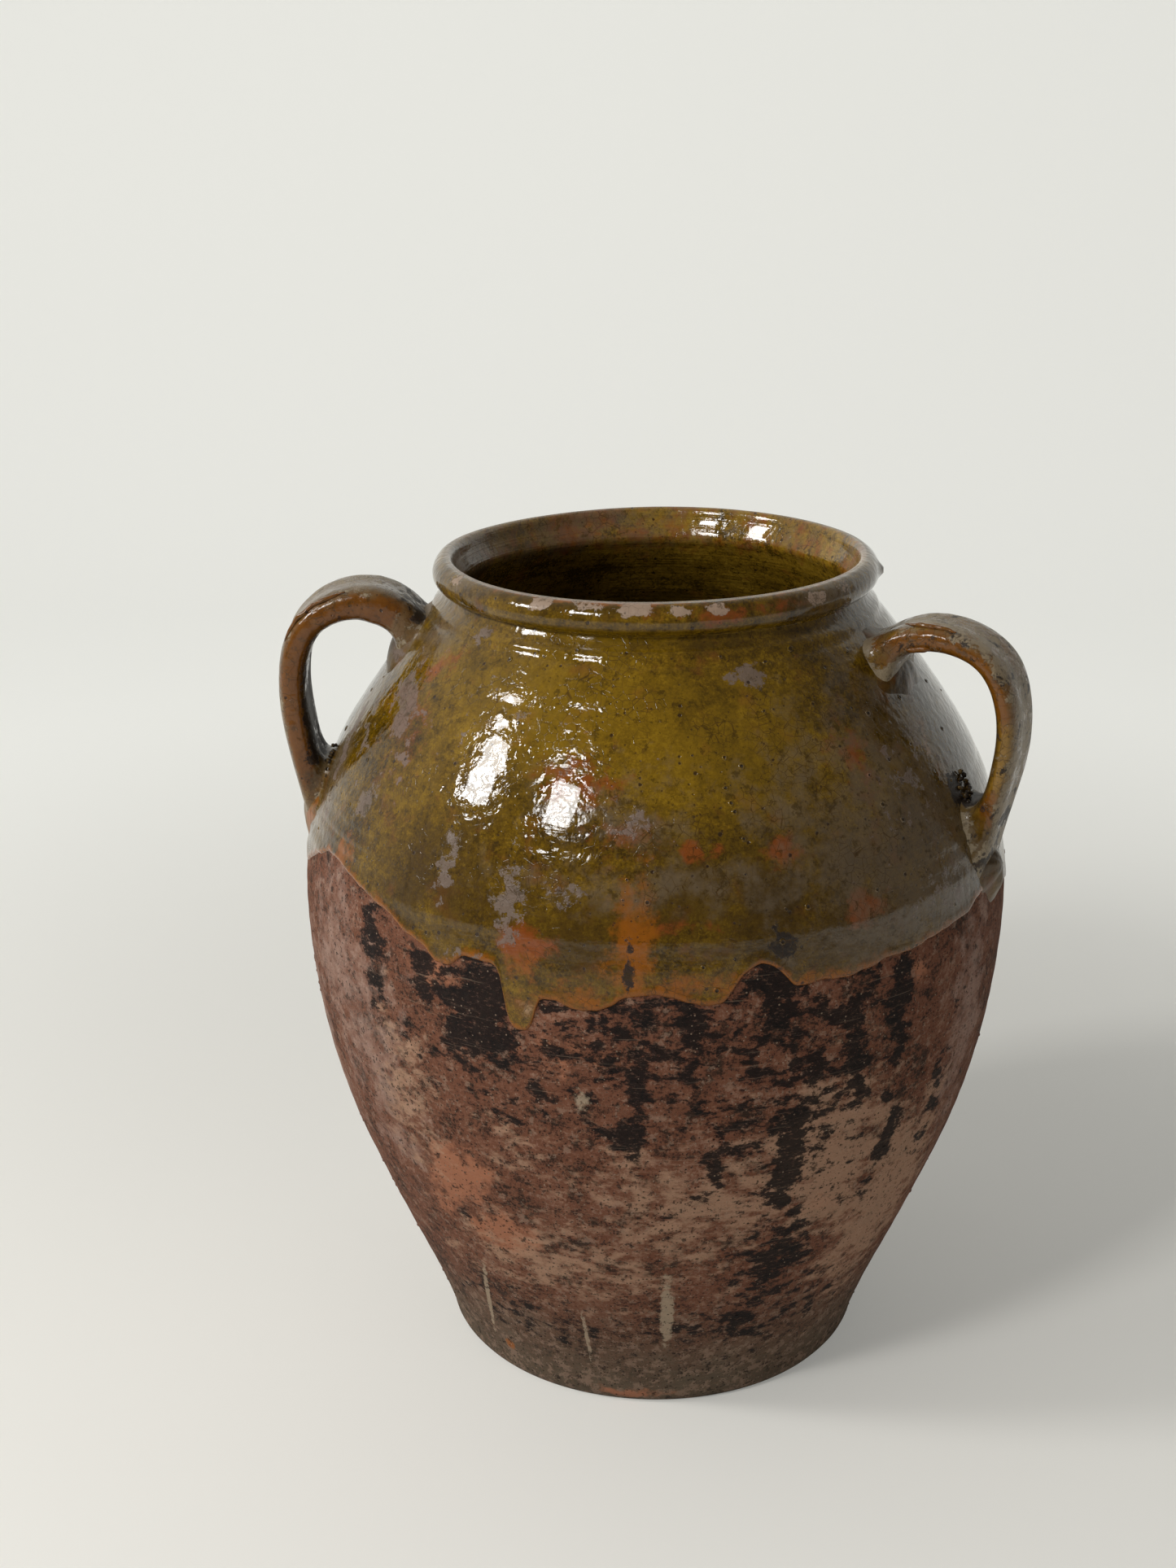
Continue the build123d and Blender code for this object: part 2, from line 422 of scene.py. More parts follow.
class RunLine:
    """The ragged lower edge of the olive glaze, where it ran down and stopped."""

    # Pixels of the photograph on the glaze's edge, from the left limb to the right one
    edge_pixels = (
        (404, 1046), (419, 1061), (436, 1081), (459, 1107), (479, 1125), (499, 1145), (522, 1167),
        (534, 1182), (551, 1188), (568, 1174), (608, 1183), (617, 1204), (621, 1233), (624, 1255),
        (633, 1266), (648, 1267), (656, 1258), (659, 1237), (662, 1227), (683, 1229), (697, 1240),
        (717, 1244), (735, 1243), (752, 1236), (769, 1228), (805, 1223), (830, 1229), (866, 1238),
        (888, 1236), (901, 1218), (916, 1196), (937, 1183), (959, 1193), (976, 1211), (1013, 1205),
        (1050, 1198), (1087, 1180), (1130, 1162), (1161, 1141), (1189, 1123), (1200, 1105),
        (1206, 1097), (1215, 1092), (1225, 1082),
    )
    # Azimuths and heights on the far side, which are guessed
    far_side = (
        (-180, 205), (-168, 204), (-160, 213), (-14, 199), (-10, 196), (0, 196.5), (9, 203), (19, 204),
        (31, 198), (38, 186), (42, 184), (47, 196), (60, 207), (74, 211), (88, 203), (99, 198), (107, 190),
        (112, 193), (121, 205), (135, 214), (148, 210), (160, 202), (171, 200), (180, 205),
    )
    drum_radius = 130.0
    raggedness = 0.9

    def __init__(self, section: Section, view: Viewpoint) -> None:
        """Find where the edge's pixels lie on the wall.

        Args:
            section: The jar's section.
            view: Where the photograph was taken from.
        """
        points = [section.seen(view, pixel) for pixel in self.edge_pixels]
        self.azimuths, self.heights = np.array(sorted([*points, *self.far_side])).T

    def height(self, azimuth: np.ndarray) -> np.ndarray:
        """Height of the glaze's edge.

        Args:
            azimuth: Directions in degrees, in an even round for a smooth edge.

        Returns:
            A height for each direction, slightly ragged.
        """
        line = np.interp(azimuth, self.azimuths, self.heights)
        window = np.array([0.25, 0.5, 0.25])
        line = np.convolve(np.pad(line, 1, mode="wrap"), window, mode="valid")
        turn = np.radians(azimuth)
        ring = np.stack([np.cos(turn), np.sin(turn), np.zeros_like(turn)], axis=-1) * self.drum_radius
        return line + rough_noise(ring, 7, 5) * self.raggedness


# Stains, and patches of painted shade and sheen, that are laid on one by one


@dataclass(frozen=True)
class Mark:
    """A stain or colour patch; a few are painted shade, and a few a painted sheen. Its middle is a pixel of
    the photograph or an azimuth and height.
    """

    layer: Layer
    at: tuple[float, float]
    wide: float
    tall: float
    weight: float = 1.0
    lean: float = 0.0
    ragged: float = 0.5
    behind: bool = False


@dataclass
class Painter:
    """Lays marks on a piece, as a value from 0 to 1 at every vertex, about a half at a mark's edge."""

    section: Section
    view: Viewpoint
    softness: float = 1.0
    grain: float = 11.0
    reach: float = 13.0

    def spot(self, mark: Mark) -> tuple[float, float]:
        """Azimuth and height of a mark's middle."""
        return mark.at if mark.behind else self.section.seen(self.view, mark.at)

    def paint(self, piece: bpy.types.Object, marks: list[Mark]) -> None:
        """Write the layers of a piece.

        Args:
            piece: Mesh object to paint.
            marks: Marks to lay on it.
        """
        places = vertex_places(piece)
        azimuth = np.degrees(np.arctan2(places[:, 1], places[:, 0]))
        ragged = rough_noise(places, self.grain, 71, 4)
        off_wall = np.hypot(places[:, 0], places[:, 1]) - self.section.radius_at(places[:, 2])
        values: dict[Layer, np.ndarray] = {}
        for mark in marks:
            middle, level = self.spot(mark)
            swing = (azimuth - middle + 180) % 360 - 180
            across = np.radians(swing) * max(float(self.section.radius_at(level)), 1)
            up = self.section.length_at(places[:, 2]) - float(self.section.length_at(level))
            lean = math.radians(mark.lean)
            along = across * math.sin(lean) + up * math.cos(lean)
            aside = across * math.cos(lean) - up * math.sin(lean)
            inside = 1 - np.hypot(aside / mark.wide, along / mark.tall) + ragged * mark.ragged
            value = np.clip(0.5 + 0.5 * inside / self.softness, 0, 1) * mark.weight
            value[(np.abs(swing) > 90) | (off_wall > self.reach)] = 0
            values[mark.layer] = np.maximum(values.get(mark.layer, 0), value)
        for layer, value in values.items():
            write_layer(piece, layer, value)


def read_all(items: bpy.types.bpy_prop_collection, name: str, wide: int = 3) -> np.ndarray:
    """One property of a mesh's vertices, faces or corners.

    Args:
        items: The vertices, faces or corners.
        name: Name of the property.
        wide: How many numbers each has.

    Returns:
        The values, one item to a row.
    """
    values = np.zeros(len(items) * wide)
    items.foreach_get(name, values)
    return values.reshape(-1, wide)


def vertex_places(piece: bpy.types.Object) -> np.ndarray:
    """Places of a piece's vertices, in millimetres, one to a row."""
    return read_all(piece.data.vertices, "co") / MM


def store(piece: bpy.types.Object, name: str, value: np.ndarray) -> None:
    """Store a number for each vertex of a piece, for a geometry tree to read."""
    held = piece.data.attributes.new(name, "FLOAT", "POINT")
    held.data.foreach_set("value", value.astype(np.float32))


def write_layer(piece: bpy.types.Object, layer: Layer, value: np.ndarray) -> None:
    """Store one value for each vertex of a piece, on top of what the layer already has.

    Args:
        piece: Mesh object.
        layer: Layer to write.
        value: One value for each vertex.
    """
    attributes = piece.data.attributes
    held = attributes.get(layer.value)
    if held is None:
        held = attributes.new(layer.value, "FLOAT", "POINT")
    before = np.zeros(len(piece.data.vertices), np.float32)
    held.data.foreach_get("value", before)
    held.data.foreach_set("value", np.maximum(before, value).astype(np.float32))


# Meshes


def mesh_object(name: str, places: np.ndarray, faces: list[np.ndarray]) -> bpy.types.Object:
    """Make a smooth-shaded mesh object at the origin.

    Args:
        name: Name of the piece.
        places: Vertices in millimetres, one to a row.
        faces: Arrays of faces, each of one corner count.

    Returns:
        The object, linked to the scene.
    """
    mesh = bpy.data.meshes.new(name)
    lists = [face for array in faces for face in array.tolist()]
    mesh.from_pydata((places * MM).tolist(), [], lists)
    mesh.validate()
    mesh.shade_smooth()
    piece = bpy.data.objects.new(name, mesh)
    bpy.context.scene.collection.objects.link(piece)
    return piece


def ring_faces(rows: int, columns: int, loop: bool, poles: tuple[int, int] | None) -> list[np.ndarray]:
    """Faces of a grid whose columns go round, closed into a loop of rows or by two poles.

    Args:
        rows: How many rings the grid has.
        columns: How many places a ring has.
        loop: Whether the last row joins the first.
        poles: Numbers of the vertices that close the first and the last row, if any do.

    Returns:
        Arrays of faces, each of one corner count.
    """
    index = np.arange(rows * columns).reshape(rows, columns)
    beside = np.roll(index, -1, axis=1)
    last = rows if loop else rows - 1
    above = np.roll(index, -1, axis=0)[:last]
    above_beside = np.roll(beside, -1, axis=0)[:last]
    quads = np.stack([index[:last], beside[:last], above_beside, above], axis=-1).reshape(-1, 4)
    faces = [quads]
    if poles:
        first, final = poles
        faces.append(np.stack([np.full(columns, first), beside[0], index[0]], axis=-1))
        faces.append(np.stack([index[-1], beside[-1], np.full(columns, final)], axis=-1))
    return faces


def settle(radius: np.ndarray, height: np.ndarray, turn: np.ndarray) -> tuple[np.ndarray, np.ndarray]:
    """Let the mouth of the jar sag and go out of round a little, as it did on the wheel.

    Args:
        radius: Radii, rows by columns.
        height: Heights, laid out as the radii are.
        turn: Direction of each column.

    Returns:
        The changed radii and heights.
    """
    share = smooth_step((height - SETTLED_FROM) / SETTLED_OVER)
    dip = 0.5 * (1 + np.cos(turn - math.radians(LOWEST_AZIMUTH))) + 0.2 * (1 + np.sin(3 * turn + 1))
    sway = 0.55 * np.sin(2 * turn + 0.6) + 0.25 * np.sin(5 * turn)
    return radius + share * sway, height - share * dip


def lathe(name: str, radius: np.ndarray, height: np.ndarray, capped: bool) -> bpy.types.Object:
    """Turn rows of radii and heights into a closed mesh.

    Args:
        name: Name of the piece.
        radius: Radii, rows by columns, the columns evenly round the jar.
        height: Heights, laid out as the radii are.
        capped: Whether the rows start and end at the axis. Otherwise they form a loop.

    Returns:
        The piece.
    """
    rows, columns = radius.shape
    turn = np.radians(np.linspace(-180, 180, columns, endpoint=False))
    radius, height = settle(radius, height, turn)
    grid = np.stack([radius * np.cos(turn), radius * np.sin(turn), height], axis=-1)
    places = grid.reshape(-1, 3)
    poles = None
    if capped:
        ends = np.array([[0, 0, height[0].mean()], [0, 0, height[-1].mean()]])
        places = np.concatenate([places, ends])
        poles = (rows * columns, rows * columns + 1)
    return mesh_object(name, places, ring_faces(rows, columns, not capped, poles))


# Node trees


class Sheet:
    """A material's or a geometry tree's nodes, with short calls for the usual ones."""

    def __init__(self, tree: bpy.types.NodeTree) -> None:
        """Start on a tree."""
        self.tree = tree

    def node(
        self, kind: str, inputs: dict[str | int, object] | None = None, **settings: object
    ) -> bpy.types.Node:
        """Add a node.

        Args:
            kind: Blender's name for the kind of node.
            inputs: What its inputs get, by name or number.
            settings: Properties to set on it, before its inputs.

        Returns:
            The node.
        """
        made = self.tree.nodes.new(kind)
        for name, value in settings.items():
            setattr(made, name, value)
        for key, value in (inputs or {}).items():
            self.put(made.inputs[key], value)
        return made

    def put(self, socket: bpy.types.NodeSocket, value: object) -> None:
        """Link an output to an input, or set the input's plain value.

        Args:
            socket: Input to fill.
            value: Output to link, or a plain value.
        """
        if isinstance(value, bpy.types.NodeSocket):
            self.tree.links.new(value, socket)
        else:
            socket.default_value = value

    def math(self, operation: str, first: object, second: object = 0.0, third: object = 0.0) -> object:
        """Number arithmetic, by Blender's name for it."""
        return self.node("ShaderNodeMath", {0: first, 1: second, 2: third}, operation=operation).outputs[0]

    def times(self, first: object, second: object) -> object:
        """One number times another."""
        return self.math("MULTIPLY", first, second)

    def add(self, base: object, more: object, share: object = 1.0) -> object:
        """A number with a share of another on top."""
        return self.math("MULTIPLY_ADD", more, share, base)

    def vector(self, operation: str, first: object, second: object = (0.0, 0.0, 0.0)) -> object:
        """Vector arithmetic, by Blender's name for it."""
        return self.node("ShaderNodeVectorMath", {0: first, 1: second}, operation=operation).outputs[0]

    def scaled(self, direction: object, size: object) -> object:
        """A vector times a number."""
        return self.node("ShaderNodeVectorMath", {0: direction, "Scale": size}, operation="SCALE").outputs[0]

    def parts(self, place: object) -> bpy.types.bpy_prop_collection:
        """The three numbers of a vector."""
        return self.node("ShaderNodeSeparateXYZ", {0: place}).outputs

    def ease(self, value: object, low: float, high: float) -> object:
        """Take a value from 0 at low to 1 at high, eased."""
        ends = {"Value": value, "From Min": low, "From Max": high}
        return self.node("ShaderNodeMapRange", ends, interpolation_type="SMOOTHSTEP").outputs["Result"]

    def fall(self, value: object, low: float, high: float) -> object:
        """Take a value from 1 at low to 0 at high, eased."""
        return self.math("SUBTRACT", 1.0, self.ease(value, low, high))

    def blend(self, factor: object, first: object, second: object) -> object:
        """Mix two colours, all of the second at a factor of 1."""
        return self.node("ShaderNodeMix", {0: factor, 6: first, 7: second}, data_type="RGBA").outputs[2]

    def noise(self, place: object, size: float, detail: float = 3.0, roughness: float = 0.55) -> object:
        """Noise from 0 to 1, with lumps of about the given size in millimetres."""
        ways = {"Vector": place, "Scale": 1 / (size * MM), "Detail": detail, "Roughness": roughness}
        return self.node("ShaderNodeTexNoise", ways).outputs["Fac"]

    def cells(self, place: object, size: float, feature: str = "F1") -> bpy.types.Node:
        """Cells of about the given size in millimetres."""
        return self.node("ShaderNodeTexVoronoi", {"Vector": place, "Scale": 1 / (size * MM)}, feature=feature)

    def squeezed(self, place: object, across: float, up: float) -> object:
        """Place with its level and its upright directions scaled, for streaks and rings."""
        ways = {"Vector": place, "Scale": (across, across, up)}
        return self.node("ShaderNodeMapping", ways).outputs["Vector"]

    def layer(self, layer: Layer) -> object:
        """A painted layer's value."""
        return self.node("ShaderNodeAttribute", attribute_name=layer.value).outputs["Fac"]


Colour = tuple[float, float, float, float]


def colour(red: float, green: float, blue: float) -> Colour:
    """A colour with full cover, in linear light."""
    return red, green, blue, 1.0


@dataclass(frozen=True)
class Stain:
    """How one painted layer changes a finish."""

    layer: Layer
    tint: Colour
    cover: float = 1.0
    edge: float = 0.12
    ragged: float = 0.5
    grain: float = 2.2
    dulls: float = 0.0
    flat: float = 1.0


class Finish(Sheet):
    """A surface material's nodes, with its shader and the piece's own coordinates at hand."""

    def __init__(self, name: str) -> None:
        """Start a node material.

        Args:
            name: Name of the material.
        """
        self.material = bpy.data.materials.new(name)
        self.material.use_nodes = True
        super().__init__(self.material.node_tree)
        self.shader = next(n for n in self.tree.nodes if n.type == "BSDF_PRINCIPLED")
        self.place = self.node("ShaderNodeTexCoord").outputs["Object"]

    def level(self) -> object:
        """Height above the foot, in metres."""
        return self.parts(self.place)[2]

    def spot(self, cells: bpy.types.Node, full: float, gone: float) -> object:
        """A round spot in the middle of each cell."""
        return self.fall(cells.outputs["Distance"], full, gone)

    def chance(self, cells: bpy.types.Node, which: int) -> object:
        """A number from 0 to 1 for each cell, to pick cells by."""
        return self.node("ShaderNodeSeparateColor", {0: cells.outputs["Color"]}).outputs[which]

    def covered(self, stain: Stain) -> object:
        """Where a stain covers, with a ragged edge.

        Args:
            stain: How it covers.

        Returns:
            The output, from 0 to the stain's cover.
        """
        place = self.place if stain.flat == 1.0 else self.squeezed(self.place, 1, stain.flat)
        ragged = self.math("SUBTRACT", self.noise(place, stain.grain, 8, 0.68), 0.5)
        value = self.add(self.layer(stain.layer), ragged, stain.ragged)
        return self.times(self.ease(value, 0.5 - stain.edge, 0.5 + stain.edge), stain.cover)

    def stained(self, base: object, stains: tuple[Stain, ...]) -> object:
        """A colour under its stains.

        Args:
            base: The colour below.
            stains: The stains, the lowest first.

        Returns:
            The colour's output.
        """
        for stain in stains:
            base = self.blend(self.covered(stain), base, stain.tint)
        return base

    def dulled(self, start: object, stains: tuple[Stain, ...]) -> object:
        """How much of the gloss is gone.

        Args:
            start: How much is gone without the stains.
            stains: The stains.

        Returns:
            The output, from 0 to 1.
        """
        for stain in stains:
            if stain.dulls:
                start = self.math("MAXIMUM", start, self.times(self.covered(stain), stain.dulls))
        return start

    def roughen(self, height: object, strength: float, depth: float) -> None:
        """Give the shader a bump, its height times depth in millimetres."""
        bump = self.node("ShaderNodeBump", {"Strength": strength, "Distance": depth * MM, "Height": height})
        self.put(self.shader.inputs["Normal"], bump.outputs[0])


@dataclass(frozen=True)
class BareClay:
    """Fired earthenware without glaze: rough, sandy and stained by fire."""

    name: str = "bare earthenware"
    deep: Colour = colour(0.032, 0.018, 0.012)
    body: Colour = colour(0.152, 0.060, 0.034)
    pale: Colour = colour(0.250, 0.135, 0.090)
    speck: Colour = colour(0.014, 0.010, 0.008)
    sand: Colour = colour(0.330, 0.240, 0.170)
    crust: Colour = colour(0.290, 0.190, 0.135)
    foot_tint: Colour = colour(0.100, 0.078, 0.053)
    foot_rise: float = 60.0
    bump: float = 1.0
    roughness: float = 0.86
    specular: float = 0.15
    stains: tuple[Stain, ...] = (
        Stain(Layer.HAZE, colour(0.350, 0.232, 0.185), cover=0.75, edge=0.3, ragged=1.6, grain=9),
        Stain(Layer.SALMON, colour(0.360, 0.150, 0.082), cover=0.85, edge=0.14, ragged=1.3, grain=8),
        Stain(Layer.TAN, colour(0.400, 0.245, 0.160), cover=0.75, edge=0.2, ragged=2.0, grain=9, flat=1.8),
        Stain(Layer.SOOT, colour(0.007, 0.006, 0.006), cover=0.94, edge=0.09, ragged=2.3, grain=9, flat=1.7),
        Stain(Layer.LIME, colour(0.360, 0.280, 0.195), cover=0.85, edge=0.1, ragged=1.0, grain=2.6),
        Stain(Layer.AMBER, colour(0.300, 0.105, 0.030), cover=0.9, edge=0.12, grain=1.6),
    )

    def fired_tone(self, sheet: Finish, lumps: object, fine: object) -> object:
        """Colour of the clay from the fire alone, from deep to pale.

        Args:
            sheet: The material's nodes.
            lumps: Coarse noise.
            fine: Fine noise.

        Returns:
            The colour's output.
        """
        lines = sheet.noise(sheet.squeezed(sheet.place, 1, 8), 24, 5, 0.6)
        tone = sheet.add(sheet.times(lumps, 0.85), lines, 0.15)
        tone = sheet.add(tone, sheet.math("SUBTRACT", fine, 0.5), 0.8)
        base = sheet.blend(sheet.ease(tone, 0.36, 0.50), self.deep, self.body)
        return sheet.blend(sheet.ease(tone, 0.53, 0.70), base, self.pale)

    def weather(self, sheet: Finish, base: object) -> object:
        """Burnt specks, pale flecks and level scratches over the colour.

        Args:
            sheet: The material's nodes.
            base: The colour below.

        Returns:
            The colour's output.
        """
        place = sheet.place
        burnt = sheet.noise(place, 3.2, 7, 0.72)
        base = sheet.blend(sheet.times(sheet.ease(burnt, 0.575, 0.61), 0.8), base, self.speck)
        flecks = sheet.noise(sheet.squeezed(place, 1, 2.2), 2.4, 8, 0.8)
        base = sheet.blend(sheet.times(sheet.ease(flecks, 0.555, 0.60), 0.3), base, self.pale)
        scratches = sheet.noise(sheet.squeezed(place, 0.12, 5), 3.0, 4, 0.6)
        return sheet.blend(sheet.times(sheet.ease(scratches, 0.63, 0.68), 0.22), base, self.sand)

    def material(self) -> bpy.types.Material:
        """Build the material.

        Returns:
            The material.
        """
        sheet = Finish(self.name)
        place, shader = sheet.place, sheet.shader
        lumps = sheet.noise(place, 15, 8, 0.68)
        fine = sheet.noise(place, 1.6, 5, 0.7)
        base = self.fired_tone(sheet, lumps, fine)
        low = sheet.add(sheet.level(), lumps, -0.09)
        low = sheet.fall(low, -0.05, self.foot_rise * MM - 0.03)
        dirt = sheet.ease(sheet.add(fine, low, 0.35), 0.42, 0.72)
        base = sheet.blend(sheet.times(sheet.times(low, dirt), 0.95), base, self.foot_tint)
        scale = sheet.add(sheet.noise(place, 4.5, 8, 0.72), low, 0.05)
        base = sheet.blend(sheet.times(sheet.ease(scale, 0.545, 0.62), 0.55), base, self.crust)
        base = sheet.stained(base, self.stains)
        grains = sheet.cells(place, 1.5)
        chosen = sheet.ease(sheet.chance(grains, 0), 0.60, 0.66)
        dark = sheet.times(sheet.spot(grains, 0.20, 0.30), chosen)
        base = sheet.blend(sheet.times(dark, 0.8), base, self.speck)
        chosen = sheet.ease(sheet.chance(grains, 1), 0.86, 0.9)
        light = sheet.times(sheet.spot(grains, 0.16, 0.26), chosen)
        base = sheet.blend(sheet.times(light, 0.75), base, self.sand)
        sheet.put(shader.inputs["Base Color"], self.weather(sheet, base))
        shader.inputs["Roughness"].default_value = self.roughness
        shader.inputs["Specular IOR Level"].default_value = self.specular
        height = sheet.times(sheet.noise(place, 0.9, 3, 0.7), 0.35)
        height = sheet.add(height, fine, 0.6)
        height = sheet.add(height, sheet.noise(sheet.squeezed(place, 1, 14), 16, 3, 0.55), 0.5)
        height = sheet.add(height, scale, 0.9)
        height = sheet.add(height, light, 0.25)
        height = sheet.add(height, dark, -0.25)
        sheet.roughen(height, self.bump, 0.7)
        return sheet.material


@dataclass(frozen=True)
class LeadGlaze:
    """A clear lead glaze over red clay: olive where thick, amber and red where thin."""

    name: str
    deep: Colour = colour(0.034, 0.018, 0.001)
    body: Colour = colour(0.098, 0.053, 0.002)
    light: Colour = colour(0.190, 0.108, 0.005)
    rust: Colour = colour(0.130, 0.044, 0.008)
    pit: Colour = colour(0.022, 0.010, 0.004)
    craze: Colour = colour(0.050, 0.024, 0.004)
    gloss: float = 0.03
    coat: float = 0.4
    coat_roughness: float = 0.03
    bump: float = 0.5
    ring: float = 0.12
    specular: float = 0.3
    low_wear: float = 0.0
    worn_below: tuple[float, float] = (192.0, 226.0)
    tints: dict[Layer, Colour] = field(default_factory=dict)
    # The deep and soot tints also colour painted shade, and the haze and film tints a painted sheen, where
    # those layers are laid for it.
    stains: tuple[Stain, ...] = (
        Stain(Layer.GOLD, colour(0.240, 0.138, 0.006), cover=0.5, edge=0.4, ragged=1.3, grain=14),
        Stain(Layer.DEEP, colour(0.046, 0.024, 0.003), cover=0.75, edge=0.3, ragged=1.6, grain=12),
        Stain(Layer.BLUSH, colour(0.200, 0.048, 0.008), cover=0.85, edge=0.2, ragged=1.6, grain=6),
        Stain(Layer.AMBER, colour(0.230, 0.070, 0.004), cover=0.9, edge=0.2, ragged=1.4, grain=5),
        Stain(Layer.HAZE, colour(0.132, 0.098, 0.064), cover=0.6, edge=0.3, ragged=1.7, grain=8, dulls=0.4),
        Stain(Layer.FILM, colour(0.15, 0.11, 0.088), cover=0.85, edge=0.07, ragged=2.0, grain=6, dulls=0.8),
        Stain(Layer.LIME, colour(0.330, 0.220, 0.120), cover=0.8, edge=0.14, ragged=1.2, grain=5, dulls=0.5),
        Stain(Layer.SOOT, colour(0.016, 0.011, 0.009), cover=0.94, edge=0.06, ragged=1.6, grain=5, dulls=0.9),
        Stain(Layer.CHIP, colour(0.30, 0.215, 0.155), cover=0.9, edge=0.05, ragged=1.2, grain=2.6, dulls=0.9),
    )

    def depth_tone(self, sheet: Finish, fine: object) -> object:
        """Colour of the glaze by how thick it lies, from deep to light, with rusty patches.

        Args:
            sheet: The material's nodes.
            fine: Fine noise.

        Returns:
            The colour's output.
        """
        place = sheet.place
        tiny = sheet.noise(place, 0.9, 3, 0.7)
        tone = sheet.times(sheet.noise(place, 24, 4, 0.6), 0.37)
        tone = sheet.add(tone, sheet.noise(sheet.squeezed(place, 1, 0.22), 9, 4, 0.6), 0.2)
        tone = sheet.add(tone, sheet.noise(sheet.squeezed(place, 0.25, 3.2), 12, 3, 0.55), 0.15)
        tone = sheet.add(tone, fine, 0.28)
        tone = sheet.add(tone, sheet.math("SUBTRACT", fine, 0.5), 0.12)
        tone = sheet.add(tone, sheet.math("SUBTRACT", tiny, 0.5), 0.34)
        base = sheet.blend(sheet.ease(tone, 0.40, 0.51), self.deep, self.body)
        base = sheet.blend(sheet.ease(tone, 0.50, 0.62), base, self.light)
        warm = sheet.ease(sheet.noise(place, 13, 3, 0.6), 0.56, 0.72)
        return sheet.blend(sheet.times(warm, 0.65), base, self.rust)

    def pits(self, sheet: Finish, fine: object) -> tuple[object, object]:
        """Pinholes in the glaze.

        Args:
            sheet: The material's nodes.
            fine: Fine noise.

        Returns:
            Outputs that are 1 in the large pits and in the small ones.
        """
        cells = sheet.cells(sheet.place, 4.6)
        around = sheet.add(cells.outputs["Distance"], sheet.math("SUBTRACT", fine, 0.5), 0.25)
        large = sheet.times(sheet.fall(around, 0.10, 0.17), sheet.ease(sheet.chance(cells, 0), 0.74, 0.78))
        specks = sheet.cells(sheet.place, 1.9)
        chosen = sheet.ease(sheet.chance(specks, 1), 0.80, 0.84)
        small = sheet.times(sheet.spot(specks, 0.14, 0.24), chosen)
        return large, small

    def dullness(self, sheet: Finish) -> object:
        """How much of the gloss is gone, from stains and from wear low on the wall.

        Args:
            sheet: The material's nodes.

        Returns:
            The output, from 0 to 1.
        """
        low, high = (value * MM for value in self.worn_below)
        worn = sheet.times(sheet.fall(sheet.level(), low, high), self.low_wear)
        return sheet.dulled(worn, self.stains)

    def crazing(self, sheet: Finish) -> object:
        """Fine cracks in patches.

        Args:
            sheet: The material's nodes.

        Returns:
            The output, 1 on a crack.
        """
        lines = sheet.cells(sheet.place, 3.4, "DISTANCE_TO_EDGE").outputs["Distance"]
        patches = sheet.ease(sheet.noise(sheet.place, 17, 2, 0.5), 0.42, 0.6)
        return sheet.times(sheet.fall(lines, 0.008, 0.035), patches)

    def material(self) -> bpy.types.Material:
        """Build the material.

        Returns:
            The material.
        """
        sheet = Finish(self.name)
        place, shader = sheet.place, sheet.shader
        fine = sheet.noise(place, 2.8, 6, 0.72)
        base = self.depth_tone(sheet, fine)
        stains = tuple(replace(one, tint=self.tints.get(one.layer, one.tint)) for one in self.stains)
        base = sheet.stained(base, stains)
        crazed = self.crazing(sheet)
        base = sheet.blend(sheet.times(crazed, 0.75), base, self.craze)
        large, small = self.pits(sheet, fine)
        base = sheet.blend(sheet.times(large, 0.85), base, self.pit)
        base = sheet.blend(sheet.times(small, 0.6), base, self.pit)
        grime = sheet.ease(sheet.noise(place, 4.2, 8, 0.75), 0.55, 0.61)
        sheet.put(shader.inputs["Base Color"], sheet.blend(sheet.times(grime, 0.6), base, self.deep))
        dull = self.dullness(sheet)
        cloud = sheet.ease(sheet.noise(place, 7, 3, 0.6), 0.35, 0.75)
        rough = sheet.add(sheet.add(self.gloss, cloud, 0.07), dull, 0.42)
        sheet.put(shader.inputs["Roughness"], rough)
        sheet.put(shader.inputs["Coat Weight"], sheet.times(sheet.math("SUBTRACT", 1.0, dull), self.coat))
        shader.inputs["Coat Roughness"].default_value = self.coat_roughness
        shader.inputs["Specular IOR Level"].default_value = self.specular
        height = sheet.times(sheet.noise(place, 7.0, 2, 0.5), 0.6)
        height = sheet.add(height, sheet.noise(sheet.squeezed(place, 0.08, 4.5), 4.0, 2, 0.5), self.ring)
        height = sheet.add(height, sheet.noise(place, 3.4, 2, 0.45), 0.8)
        height = sheet.add(height, large, -0.55)
        height = sheet.add(height, small, -0.18)
        height = sheet.add(height, crazed, -0.06)
        height = sheet.add(height, sheet.times(sheet.noise(place, 1.2, 3, 0.7), dull), 0.6)
        sheet.roughen(height, self.bump, 0.8)
        return sheet.material


# Geometry trees


